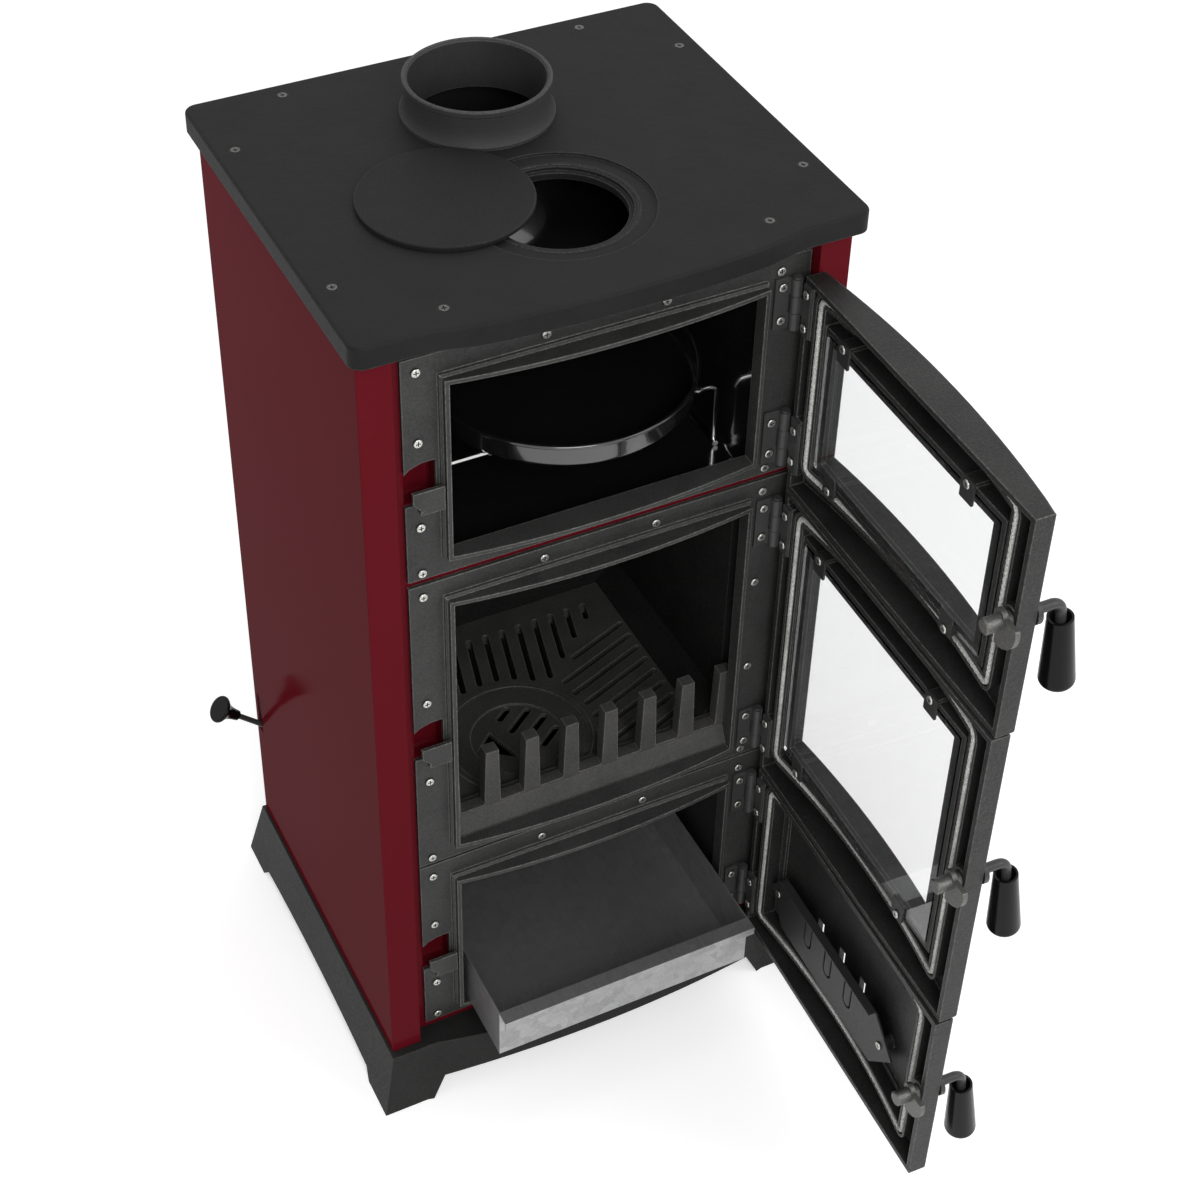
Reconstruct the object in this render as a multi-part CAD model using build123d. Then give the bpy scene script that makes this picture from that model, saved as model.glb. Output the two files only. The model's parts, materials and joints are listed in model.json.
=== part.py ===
from build123d import *
import math
import os

# Wood-burning stove with an oven above the firebox and an ash drawer below it.
# Millimetres. X points right, Y points back, Z points up. The origin is on the
# flue's axis, level with the top of the hob plate.

# Body
body_half_width = 222.0
body_depth = 360.0
flue_to_body_front = 263.5
body_bottom_z = -881.0
panel_sheet = 1.5
panel_front_fold = 30.0
panel_back_fold = 20.0
front_sheet_setback = 15.3
front_y = -flue_to_body_front
back_y = front_y + body_depth

# Hob plate
plate_side_overhang = 8.0
plate_half_width = body_half_width + plate_side_overhang
plate_thickness = 8.0
plate_skirt_depth = 20.0
plate_front_overhang = 16.0
plate_front_bow = 16.0
plate_back_overhang = 16.0
plate_bow_shoulder = 50.0
plate_corner_radius = 12.0
plate_edge_radius = 3.0
skirt_thickness = 6.0
cook_hole_radius = 57.0
cook_step_width = 9.5
cook_recess_width = 13.5
cook_step_radius = cook_hole_radius + cook_step_width
cook_recess_radius = cook_step_radius + cook_recess_width
cook_recess_depth = 2.5
cook_boss_depth = 12.0
cook_hole_to_collar = 15.5
lid_overlap = 8.3
lid_radius = cook_step_radius + lid_overlap
lid_thickness = 5.0
lid_to_collar = 2.64
lid_bearing = 34.75

# Flue collar
flue_bore_radius = 60.0
collar_wall = 5.0
collar_height = 35.6
collar_spigot_depth = 12.0
collar_bead = 8.0
collar_bead_radius = flue_bore_radius + collar_bead
cook_hole_from_flue = collar_bead_radius + cook_recess_radius + cook_hole_to_collar

# Frames that carry the doors
frame_left_gap = 11.0
frame_side_gap = 1.2
frame_half_width = body_half_width - panel_front_fold - frame_left_gap
frame_plate = 4.0
opening_inset = 37.5
opening_half_width = frame_half_width - opening_inset
rim_wall = 4.0
rim_draft = 2.0
rim_front_standoff = 10.3
rim_bow = 11.0
latch_axis_drop = 15.0
notch_height = 43.0
pocket_depth = 15.0
notch_to_opening = 9.5
notch_right_x = -opening_half_width - notch_to_opening
keeper_clearance = 0.8

# Hinges and doors
pin_to_opening = 31.3
pin_x = opening_half_width + pin_to_opening
pin_setback = 5.0
pin_radius = 2.5
knuckle_radius = 5.0
hinge_leaf = 2.5
door_near = 7.0
door_edge_inset = 9.8
door_far = pin_x + frame_half_width - door_edge_inset
door_wall_back = 4.0
door_wall = 5.5
door_skin = 6.0
door_mid_depth = 36.5
door_end_depth = 23.0
rope_width = 8.0
rope_ridge = 3.0
gasket_corner = 8.0
glass_thickness = 4.0
glass_seat_depth = 12.0
clip_to_pane = 5.5
door_open_angle = {"oven": 89.0, "firebox": 88.5, "ash": 88.0}

# Latches
latch_to_opening = 18.2
latch_along_door = pin_x + opening_half_width + latch_to_opening
latch_rod_radius = 4.6
latch_bore_clearance = 0.08
latch_boss_wall = 6.4
latch_boss_radius = latch_rod_radius + latch_boss_wall
hub_wall = 2.4
hub_radius = latch_rod_radius + hub_wall
keeper_top_drop = latch_axis_drop + hub_radius + keeper_clearance
wing_front_depth = -1.2
wing_thickness = 4.6
fan_reach = 22.5
fan_corner = 1.8
lobe_reach = 11.8
lobe_lean = 168.0
hub_end_depth = -20.0
handle_standoff = 27.0
grip_length = 75.0
grip_top_radius = 10.8
grip_bottom_radius = 15.0
grip_tilt = 7.0

# Inside
casing_side_gap = 36.0
casing_half_width = body_half_width - casing_side_gap
casing_sheet = 2.0
casing_back_gap = 20.0
grate_top_z = -600.0
grate_thickness = 12.0
grate_near = 17.3
grate_back_gap = 98.0
grate_far = body_depth - grate_back_gap
liner_thickness = 8.0
liner_half_width = opening_half_width + 6.5
grate_half_width = liner_half_width + liner_thickness
oven_half_width = opening_half_width + 6.0
oven_floor_z = -273.0
oven_roof_z = -62.0
oven_sheet = 1.5
oven_back_gap = 70.0
oven_depth = body_depth - oven_back_gap
ash_half_width = opening_half_width + 3.5
ash_floor_z = -848.0
tray_side_gap = 10.0
tray_half_width = ash_half_width - tray_side_gap
tray_height = 63.0
tray_back_gap = 60.0
tray_length = body_depth - tray_back_gap
tray_sheet = 1.2
tray_front_out = 70.0

# Fasteners
screw_head_radius = 4.2
screw_head_height = 2.0
screw_shank_radius = 2.0
screw_fit = 0.02

# Clearances
seat_gap = 0.3
thin_gap = 0.5

oven_frame_span = (-276.0, -43.5)
firebox_frame_span = (-636.0, -283.0)
ash_frame_span = (-870.0, -639.0)
oven_rim_span = (-255.0, -66.0)
firebox_rim_span = (-615.0, -303.0)
ash_rim_span = (-852.0, -662.0)
oven_door_span = (-287.5, -59.0)
firebox_door_span = (-649.0, -289.5)
ash_door_span = (-879.5, -652.0)
notch_top = {"oven": -150.0, "firebox": -449.0, "ash": -745.0}

os.makedirs("parts", exist_ok=True)


def save(shape, node):
    """Write one node's solids to its own STEP file."""
    solids = shape if isinstance(shape, list) else list(shape.solids())
    body = solids[0] if len(solids) == 1 else Compound(children=list(solids))
    export_step(body, f"parts/{node}.step")


def block(x0, x1, y0, y1, z0, z1):
    """A box between two corners."""
    return Pos((x0 + x1) / 2, (y0 + y1) / 2, (z0 + z1) / 2) * Box(
        abs(x1 - x0), abs(y1 - y0), abs(z1 - z0)
    )


def post(x, y, z0, z1, radius):
    """An upright cylinder between two heights."""
    return Pos(x, y, (z0 + z1) / 2) * Cylinder(radius, z1 - z0)


def rod_y(x, z, y0, y1, radius):
    """A cylinder that runs along Y."""
    return Pos(x, (y0 + y1) / 2, z) * Rot(90, 0, 0) * Cylinder(radius, y1 - y0)


def rod_x(y, z, x0, x1, radius):
    """A cylinder that runs along X."""
    return Pos((x0 + x1) / 2, y, z) * Rot(0, 90, 0) * Cylinder(radius, x1 - x0)


def outline_prism(points, z0, z1):
    """A prism over a closed outline of XY points."""
    face = make_face(Polyline(*[(x, y, 0) for x, y in points], close=True))
    return Pos(0, 0, z0) * extrude(face, z1 - z0)


def bow_prism(x0, x1, y_flat, y_end, y_mid, z0, z1):
    """A prism with a flat side at y_flat and a bowed side through the ends and the middle."""
    mid = (x0 + x1) / 2
    edges = [
        Line((x0, y_flat, 0), (x1, y_flat, 0)),
        Line((x1, y_flat, 0), (x1, y_end, 0)),
        ThreePointArc((x1, y_end, 0), (mid, y_mid, 0), (x0, y_end, 0)),
        Line((x0, y_end, 0), (x0, y_flat, 0)),
    ]
    return Pos(0, 0, z0) * extrude(make_face(edges), z1 - z0)


def bow_at(x, half_span, end, mid):
    """The offset of a shallow bow at a place across it."""
    return mid + (end - mid) * (x / half_span) ** 2


def screw_y(x, z, seat_y, length):
    """A pan-head cross-recess screw along Y, its head in front of the seat."""
    head = rod_y(x, z, seat_y - screw_head_height, seat_y, screw_head_radius)
    front = head.faces().sort_by(Axis.Y)[0]
    head = fillet(front.edges(), screw_head_height * 0.6)
    slot_y = seat_y - screw_head_height
    cross = block(x - 2.4, x + 2.4, slot_y - 1, slot_y + 1.2, z - 0.45, z + 0.45)
    cross += block(x - 0.45, x + 0.45, slot_y - 1, slot_y + 1.2, z - 2.4, z + 2.4)
    return head - cross + rod_y(x, z, seat_y, seat_y + length, screw_shank_radius)


def screw_hole_y(x, z, y0, y1):
    """The hole that a screw's shank passes along Y."""
    return rod_y(x, z, y0, y1, screw_shank_radius + screw_fit)


# Where each thing stands

frame_y = front_y + 11.3
sheet_y = frame_y + frame_plate
pin_y = front_y + pin_setback
rim_front_y = frame_y - rim_front_standoff
rope_end_depth = pin_y - rim_front_y + seat_gap
rim_half_span = opening_half_width + rim_wall
plinth_top_z = body_bottom_z
hole_y = -cook_hole_from_flue
plate_front_y = front_y - plate_front_overhang
plate_back_y = back_y + plate_back_overhang
plate_under_z = -plate_thickness
skirt_bottom_z = -plate_skirt_depth
casing_back_y = back_y - casing_back_gap
casing_front_y = sheet_y + panel_sheet
frame_right_x = body_half_width - panel_front_fold - frame_side_gap

frames = {
    "oven": (oven_frame_span, oven_rim_span),
    "firebox": (firebox_frame_span, firebox_rim_span),
    "ash": (ash_frame_span, ash_rim_span),
}
door_spans = {"oven": oven_door_span, "firebox": firebox_door_span, "ash": ash_door_span}
left_screws = {
    "oven": [-57.4, -128.3, -217.9, -268.6],
    "firebox": [-295.9, -423.3, -523.7, -627.3],
    "ash": [-654.7, -724.4, -812.3, -861.6],
}
right_screws = {"oven": [-57.4, -268.6], "firebox": [-295.9, -405.7, -514.0, -627.3], "ash": [-654.7]}
top_strip_screws = {"oven": -55.0, "firebox": -294.0, "ash": -651.5}
hinge_leaves = {
    "oven": [(-115.5, -64.0), (-263.0, -205.0)],
    "firebox": [(-359.0, -305.0), (-622.2, -572.2)],
    "ash": [(-716.5, -662.5), (-857.5, -803.5)],
}
leaf_screw_pitch = 34.0
leaf_width = 16.3
leaf_screw_x = pin_x - 11.3
left_screw_inset = 13.0
right_screw_to_pin = 12.8


# Hob plate, collar and lid


def plate_outline(inset):
    """The hob plate's outline with its shallow S-curved front, as a face."""
    half = plate_half_width - inset
    back = plate_back_y - inset
    side_y = plate_front_y + inset
    bow_y = plate_front_y - plate_front_bow + inset
    shoulder = plate_half_width - plate_bow_shoulder
    crest = shoulder - 72.0
    crest_y = bow_y + plate_front_bow * 0.3
    waist_y = (side_y + crest_y) / 2
    edges = [
        Line((-shoulder, side_y), (-half, side_y)),
        Line((-half, side_y), (-half, back)),
        Line((-half, back), (half, back)),
        Line((half, back), (half, side_y)),
        Line((half, side_y), (shoulder, side_y)),
        Bezier((shoulder, side_y), (shoulder - 30, side_y), (crest + 34, crest_y + 2.4), (crest, crest_y)),
        ThreePointArc((crest, crest_y), (0, bow_y), (-crest, crest_y)),
        Bezier((-crest, crest_y), (-crest - 34, crest_y + 2.4), (-shoulder + 30, side_y), (-shoulder, side_y)),
    ]
    face = make_face(edges)
    corners = [v for v in face.vertices() if abs(abs(v.X) - half) < 0.01]
    return fillet(corners, plate_corner_radius - inset * 0.5)


top_screw_places = [
    (side * (plate_half_width - inset), y)
    for inset, y in (
        (18.3, front_y + 68.7),
        (18.3, back_y - 70.8),
        (86.0, front_y + 6.9),
        (86.0, back_y - 3.3),
    )
    for side in (-1, 1)
]


def make_top_plate():
    """The cast hob plate with its skirt, cooking hole, lid recess and flue opening."""
    plate = extrude(plate_outline(0), -plate_skirt_depth)
    hollow = extrude(plate_outline(skirt_thickness), -plate_skirt_depth)
    plate -= Pos(0, 0, plate_under_z) * hollow
    top_edges = plate.faces().sort_by(Axis.Z)[-1].outer_wire().edges()
    plate = fillet(top_edges, plate_edge_radius)
    plate += post(0, hole_y, -cook_boss_depth, plate_under_z, cook_step_radius + 8)
    plate -= post(0, hole_y, -cook_recess_depth, 1, cook_recess_radius)
    plate -= post(0, hole_y, -cook_recess_depth - 3.5, 1, cook_hole_radius + 4)
    plate -= post(0, hole_y, -30, 1, cook_hole_radius)
    plate += Pos(0, hole_y, -cook_recess_depth) * lid_seat_ring()
    plate -= post(0, 0, -30, 1, flue_bore_radius + collar_wall + seat_gap)
    for x, y in top_screw_places:
        plate -= post(x, y, -30, 1, screw_shank_radius + screw_fit)
        plate -= post(x, y, -screw_head_height - 0.2, 1, screw_head_radius + 0.3)
        plate += post(x, y, skirt_bottom_z + 6, plate_under_z, 5.5) - post(
            x, y, -30, 1, screw_shank_radius + screw_fit
        )
    return plate


def lid_seat_ring():
    """The raised ring that the lid rests on around the cooking hole."""
    ring = Pos(0, 0, 0.4) * Cylinder(cook_step_radius, 0.8)
    return ring - Pos(0, 0, 0.4) * Cylinder(cook_step_radius - 2.5, 0.9)


def make_top_plate_screws():
    """The countersunk screws that hold the hob plate to the body."""
    screws = []
    for x, y in top_screw_places:
        head = post(x, y, -screw_head_height, 0.3, screw_head_radius)
        cross = block(x - 2.4, x + 2.4, y - 0.45, y + 0.45, -1, 1)
        cross += block(x - 0.45, x + 0.45, y - 2.4, y + 2.4, -1, 1)
        shank = post(x, y, skirt_bottom_z + 6, -screw_head_height, screw_shank_radius)
        screws.append((head - cross + shank).solids()[0])
    return screws


def make_flue_collar():
    """The bell-shaped collar with the bore for the flue pipe."""
    bore = flue_bore_radius
    out = bore + collar_wall
    top = collar_height
    profile = make_face(
        [
            Line((bore, 0, -collar_spigot_depth), (bore, 0, top - 2)),
            Line((bore, 0, top - 2), (bore + 2, 0, top)),
            Line((bore + 2, 0, top), (out - 1, 0, top)),
            Line((out - 1, 0, top), (out, 0, top - 1)),
            Line((out, 0, top - 1), (out, 0, top - 5)),
            Line((out, 0, top - 5), (out - 1.4, 0, top - 7)),
            Bezier((out - 1.4, 0, top - 7), (out - 1.8, 0, 18), (out - 1.6, 0, 9), (collar_bead_radius, 0, 3)),
            Line((collar_bead_radius, 0, 3), (collar_bead_radius, 0, 0)),
            Line((collar_bead_radius, 0, 0), (out, 0, 0)),
            Line((out, 0, 0), (out, 0, -collar_spigot_depth)),
            Line((out, 0, -collar_spigot_depth), (bore, 0, -collar_spigot_depth)),
        ]
    )
    return revolve(profile, Axis.Z)


def make_hob_lid():
    """The flat lid of the cooking hole, lying beside it."""
    disc = Pos(0, 0, lid_thickness / 2) * Cylinder(lid_radius, lid_thickness)
    disc = fillet(disc.edges(), 1.2)
    far = collar_bead_radius + lid_radius + lid_to_collar
    bearing = math.radians(lid_bearing)
    return Pos(-far * math.sin(bearing), -far * math.cos(bearing), 0) * disc


# Outer panels


def make_side_panel(side):
    """A folded side panel: side wall, front fold with its return, and back fold."""
    t = panel_sheet
    outer = body_half_width
    inner = outer - panel_front_fold
    z0, z1 = body_bottom_z, plate_under_z
    wall = block(outer - t, outer, front_y, back_y, z0, z1)
    wall += block(inner, outer, front_y, front_y + t, z0, z1)
    wall += block(inner, inner + t, front_y, sheet_y + t, z0, z1)
    wall += block(outer - panel_back_fold, outer, back_y - t, back_y, z0, z1)
    fold = [
        e
        for e in wall.edges().filter_by(Axis.Z)
        if abs(e.center().X - outer) < 0.01 and abs(e.center().Y - front_y) < 0.01
    ]
    wall = fillet(fold, 1.2)
    if side < 0:
        wall = mirror(wall, Plane.YZ)
        wall -= lever_slot()
    return wall


def lever_slot():
    """The upright slot in the left panel that the air lever passes through."""
    lever_y = lever_line_y
    slot = block(-body_half_width - 2, -body_half_width + 4, lever_y - 5, lever_y + 5, *lever_slot_span)
    return slot


def make_back_panel():
    """The flat back panel with its pressed air slots."""
    t = panel_sheet
    half = body_half_width - t - seat_gap
    y1 = back_y - t
    panel = block(-half, half, y1 - t, y1, body_bottom_z, skirt_bottom_z - thin_gap)
    for row in range(6):
        for x in (-90, 0, 90):
            z = -780 + row * 16
            panel -= block(x - 30, x + 30, y1 - t - 1, y1 + 1, z, z + 6)
    return panel


def pocket_box(kind, grow):
    """The dished pocket behind a latch notch, grown outward by a margin."""
    top = notch_top[kind]
    z1 = top + 2
    z0 = top - notch_height + 1
    x0 = -frame_half_width + 0.5
    x1 = notch_right_x + 0.2
    y1 = sheet_y + pocket_depth
    solid = block(x0 - grow, x1 + grow, sheet_y - 1, y1 + grow, z0 - grow, z1 + grow)
    edges = solid.edges().filter_by(Axis.Z) + solid.edges().filter_by(Axis.X)
    back = [e for e in edges if e.center().Y > y1 + grow - 0.1]
    return fillet(back, 5.0 + grow)


def make_front_sheet():
    """The enamelled front sheet behind the frames, with a pocket behind each latch."""
    t = panel_sheet
    half = body_half_width - panel_front_fold - seat_gap
    z0, z1 = body_bottom_z, skirt_bottom_z - thin_gap
    sheet = block(-half, half, sheet_y, sheet_y + t, z0, z1)
    for kind in frames:
        sheet += pocket_box(kind, panel_sheet) & block(-half, 0, sheet_y, sheet_y + 40, z0, z1)
    for kind in frames:
        sheet -= pocket_box(kind, 0)
    windows = {
        "oven": (oven_floor_z - oven_sheet, oven_roof_z + oven_sheet, oven_half_width + oven_sheet),
        "firebox": (-612.0, -300.0, opening_half_width + 3),
        "ash": (ash_floor_z - 1.5, -659.0, opening_half_width + 3),
    }
    for low, high, half_x in windows.values():
        sheet -= block(-half_x, half_x, sheet_y - 1, sheet_y + t + 1, low, high)
    for kind in frames:
        for x, z in frame_screw_places(kind):
            sheet -= screw_hole_y(x, z, sheet_y - 1, sheet_y + t + 1)
    return sheet


# Cast frames


def frame_screw_places(kind):
    """Where the screws of one frame sit, as (x, z) pairs."""
    places = [(-frame_half_width + left_screw_inset, z) for z in left_screws[kind]]
    places += [(pin_x - right_screw_to_pin, z) for z in right_screws[kind]]
    places += [(x, top_strip_screws[kind]) for x in (-54.4, 54.4)]
    return places


def leaf_screw_places(kind):
    """Where the screws of one frame's hinge leaves sit, as (x, z) pairs."""
    places = []
    for low, high in hinge_leaves[kind]:
        mid = (low + high) / 2
        places += [(leaf_screw_x, mid + leaf_screw_pitch / 2), (leaf_screw_x, mid - leaf_screw_pitch / 2)]
    return places


def make_frame(kind):
    """One cast frame: flange, bowed rim round its opening, latch notch and keeper."""
    (low, high), (rim_low, rim_high) = frames[kind]
    frame = block(-frame_half_width, frame_right_x, frame_y, sheet_y, low, high)
    half = rim_half_span
    bow_front = rim_front_y - rim_bow
    rim = bow_prism(-half, half, sheet_y, rim_front_y, bow_front, rim_low, rim_high)
    foot_half = half + rim_draft
    foot_front = frame_y - 5
    foot = block(-foot_half, foot_half, foot_front, sheet_y, rim_low - rim_draft, rim_high + rim_draft)
    foot = chamfer([e for e in foot.edges() if abs(e.center().Y - foot_front) < 0.1], rim_draft - 0.1)
    frame += rim
    frame += foot
    inner_low = rim_low + rim_wall
    inner_high = rim_high - rim_wall
    frame -= block(-opening_half_width, opening_half_width, -400, sheet_y + 1, inner_low, inner_high)
    frame -= latch_notch(kind)
    frame += keeper(kind)
    for x, z in frame_screw_places(kind) + leaf_screw_places(kind):
        frame -= screw_hole_y(x, z, frame_y - 1, sheet_y + 1)
    return frame


def latch_notch(kind):
    """The open notch in a frame's left flange that a latch hub turns in."""
    top = notch_top[kind]
    bottom = top - notch_height
    left = -frame_half_width - 1
    points = [
        (left, top - 9),
        (left + 6, top - 3.5),
        (left + 17, top),
        (notch_right_x, top),
        (notch_right_x, bottom),
        (left, bottom),
    ]
    face = make_face(Polyline(*[(x, 0, z) for x, z in points], close=True))
    return Pos(0, sheet_y + 1, 0) * extrude(face, frame_plate + 12, dir=(0, -1, 0))


def keeper(kind):
    """The raised hook plate that a latch wing turns behind."""
    top = notch_top[kind] - keeper_top_drop
    bottom = notch_top[kind] - notch_height - 4
    front = rim_front_y + 0.6
    thick = 3.6
    right = -opening_half_width - rim_wall - 1.5
    left = -frame_half_width + 3.5
    outline = [
        (left, top),
        (right, top),
        (right, bottom),
        (left + 11.5, bottom),
        (left, bottom + 13),
    ]
    face = make_face(Polyline(*[(x, 0, z) for x, z in outline], close=True))
    plate = Pos(0, front + thick, 0) * extrude(face, thick, dir=(0, -1, 0))
    web = block(right - 5.4, right, front, sheet_y, bottom, top - 14)
    base = block(left + 6.5, right, front, sheet_y, bottom, bottom + thick)
    return plate + web + base


def make_frame_screws():
    """Every screw that holds the frames and the frame-side hinge leaves."""
    screws = []
    for kind in frames:
        for x, z in frame_screw_places(kind):
            screws.append(screw_y(x, z, frame_y, frame_plate + panel_sheet))
        for x, z in leaf_screw_places(kind):
            screws.append(screw_y(x, z, frame_y - hinge_leaf, hinge_leaf + frame_plate))
    return [s.solids()[0] for s in screws]


# Hinges


def knuckle(z0, z1):
    """One hinge knuckle round the pin."""
    return post(pin_x, pin_y, z0, z1, knuckle_radius)


def leaf_thirds(low, high):
    """The heights of a hinge's lower, middle and upper knuckles."""
    third = (high - low) / 3
    gap = 0.25
    return (low, low + third - gap), (low + third + gap, high - third - gap), (high - third + gap, high)


def make_frame_leaves():
    """The hinge leaves screwed to the frames, each with its two outer knuckles."""
    leaves = []
    for kind in frames:
        for low, high in hinge_leaves[kind]:
            lower, middle, upper = leaf_thirds(low, high)
            leaf = block(pin_x - 2.0 - leaf_width, pin_x - 2.0, frame_y - hinge_leaf, frame_y, low, high)
            for z0, z1 in (lower, upper):
                leaf += knuckle(z0, z1)
                leaf += block(pin_x - 6, pin_x, pin_y + knuckle_radius - 2.2, frame_y, z0, z1)
            cut = post(pin_x, pin_y, middle[0] - 0.25, middle[1] + 0.25, knuckle_radius + 0.4)
            leaf -= cut
            leaf -= post(pin_x, pin_y, low - 1, high + 1, pin_radius)
            mid = (low + high) / 2
            for z in (mid + leaf_screw_pitch / 2, mid - leaf_screw_pitch / 2):
                leaf -= screw_hole_y(leaf_screw_x, z, frame_y - hinge_leaf - 1, frame_y + 1)
            leaves.append(leaf.solids()[0])
    return leaves


def make_hinge_pins():
    """The pins pressed in the frame leaves, with their rounded heads."""
    pins = []
    for kind in frames:
        for low, high in hinge_leaves[kind]:
            pin = post(pin_x, pin_y, low - 1.5, high, pin_radius)
            pin += post(pin_x, pin_y, high, high + 2, pin_radius + 1.4)
            pins.append(pin.solids()[0])
    return pins


# Doors. Each is drawn closed, in its own axes: X runs along the door from the
# hinge pin, Y runs out from the stove, and it is then turned about the pin.


def place_door(shape, kind):
    """Move a piece drawn in door axes to its opened place on the stove."""
    turn = Pos(pin_x, pin_y, 0) * Rot(0, 0, 180 + door_open_angle[kind])
    return turn * shape


def door_depth(u, inset):
    """How far out the door's bowed face lies at a place along it."""
    mid = (door_near + door_far) / 2
    half = (door_far - door_near) / 2
    return bow_at(u - mid, half, door_end_depth, door_mid_depth) - inset


def bowed_slab(u0, u1, z0, z1, back, inset):
    """A slab from a flat back to the door's bowed face, less an inset."""
    mid = (door_near + door_far) / 2
    radius_points = [(u, door_depth(u, inset)) for u in (u0, mid, u1)]
    (a, da), (m, dm), (b, db) = radius_points
    edges = [
        Line((a, back), (b, back)),
        Line((b, back), (b, db)),
        ThreePointArc((b, db), (m, dm), (a, da)),
        Line((a, da), (a, back)),
    ]
    return Pos(0, 0, z0) * extrude(make_face(edges), z1 - z0)


gasket_lines = {
    kind: (
        pin_x - (rim_half_span - rim_wall / 2),
        pin_x + (rim_half_span - rim_wall / 2),
        frames[kind][1][0] + rim_wall / 2,
        frames[kind][1][1] - rim_wall / 2,
    )
    for kind in frames
}


def rim_bow_slab(kind, grow, shift, flat):
    """A slab over the rim's span: one side bowed like the rim and shifted out, one side flat."""
    u0, u1, z0, z1 = gasket_lines[kind]
    a, b = u0 - grow, u1 + grow
    end = rope_end_depth + shift
    crown = end + rim_bow
    side = bow_at(a - pin_x, rim_half_span, end, crown)
    edges = [
        Line((a, flat), (b, flat)),
        Line((b, flat), (b, side)),
        ThreePointArc((b, side), (pin_x, crown), (a, side)),
        Line((a, side), (a, flat)),
    ]
    return Pos(0, 0, z0 - grow) * extrude(make_face(edges), z1 - z0 + 2 * grow)


def gasket_ring(kind, grow, shift):
    """A round-cornered slab from the rim's bow outward: grow sets its reach past the rim's line."""
    solid = rim_bow_slab(kind, grow, shift, 60.0)
    return fillet(solid.edges().filter_by(Axis.Y), max(gasket_corner + grow, 2.0))


def ring_between(kind, outer_grow, inner_grow, shift):
    """A bowed ring with a width, by taking a smaller slab out of a larger one."""
    u0, u1, z0, z1 = gasket_lines[kind]
    hole = block(u0 - inner_grow, u1 + inner_grow, -20, 80, z0 - inner_grow, z1 + inner_grow)
    hole = fillet(hole.edges().filter_by(Axis.Y), max(gasket_corner + inner_grow, 0.5))
    return gasket_ring(kind, outer_grow, shift) - hole


def latch_z(kind):
    """The height of a latch's axis."""
    return notch_top[kind] - latch_axis_drop


windows_in_doors = {
    "oven": {
        "glass": (41.0, door_far - 44.0, -239.0, -98.0),
        "hole": (50.0, door_far - 54.0, -231.0, -106.0),
    },
    "firebox": {
        "glass": (41.0, door_far - 44.0, -592.0, -330.0),
        "hole": (50.0, door_far - 54.0, -584.0, -338.0),
    },
}


def clip_places(kind):
    """Where the glass clips sit: place along the door, height, and which way they reach."""
    pane_low, pane_high = windows_in_doors[kind]["glass"][2:]
    low = pane_low - clip_to_pane
    high = pane_high + clip_to_pane
    return [(u, z, way) for u in (70.0, door_far - 88.0) for z, way in ((high, -1), (low, 1))]


def door_leaf_places(kind):
    """Where the screws of the door-side hinge leaves sit."""
    places = []
    for low, high in hinge_leaves[kind]:
        mid = (low + high) / 2
        places += [(14.5, mid + leaf_screw_pitch / 2), (14.5, mid - leaf_screw_pitch / 2)]
    return places


def make_door(kind):
    """One cast door: bowed skin, perimeter walls, rope channel, boss and hinge pads."""
    z0, z1 = door_spans[kind]
    door = bowed_slab(door_near, door_far, z0, z1, door_wall_back, 0)
    outer = [
        e
        for e in door.edges()
        if e.center().Y > door_end_depth - 0.5
    ]
    door = fillet(outer, 2.5)
    door -= bowed_slab(
        door_near + door_wall, door_far - door_wall, z0 + door_wall, z1 - door_wall, -5, door_skin
    )
    ridge = ring_between(kind, rope_width / 2 + rope_ridge, -rope_width / 2 - rope_ridge, 1.4)
    inside = bowed_slab(door_near + 1, door_far - 1, z0 + 1, z1 - 1, -5, door_skin - 1)
    door += ridge & inside
    groove = ring_between(kind, rope_width / 2 + 0.1, -rope_width / 2 - 0.1, 0)
    door -= groove & rim_bow_slab(kind, 12, rope_width + 0.1, -20)
    door += hinge_pads(kind)
    door += latch_boss(kind) & bowed_slab(door_near, door_far, z0, z1, -5, 1)
    if kind in windows_in_doors:
        door = window_work(door, kind)
    else:
        door = ash_panel_work(door, kind)
    door -= Pos(latch_along_door, 0, latch_z(kind)) * Rot(90, 0, 0) * Cylinder(
        latch_rod_radius + latch_bore_clearance, 200
    )
    for u, z in door_leaf_places(kind):
        door -= rod_y(u, z, -5, 13, screw_shank_radius + screw_fit)
    return place_door(door, kind)


def hinge_pads(kind):
    """The solid pads under the door-side hinge leaves."""
    z0, z1 = door_spans[kind]
    pads = None
    for low, high in hinge_leaves[kind]:
        pad = block(door_near, 21.0, door_wall_back, 30, low - 1, high + 1)
        pads = pad if pads is None else pads + pad
    return pads & bowed_slab(door_near, door_far, z0, z1, -5, 1)


def latch_boss(kind):
    """The round boss that the latch rod turns in."""
    boss = Pos(latch_along_door, 0, latch_z(kind)) * Rot(-90, 0, 0) * Pos(0, 0, 20) * Cylinder(
        latch_boss_radius, 40
    )
    keep = block(latch_along_door - 20, door_far, door_wall_back, 60, -1000, 0)
    return boss & keep


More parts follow.
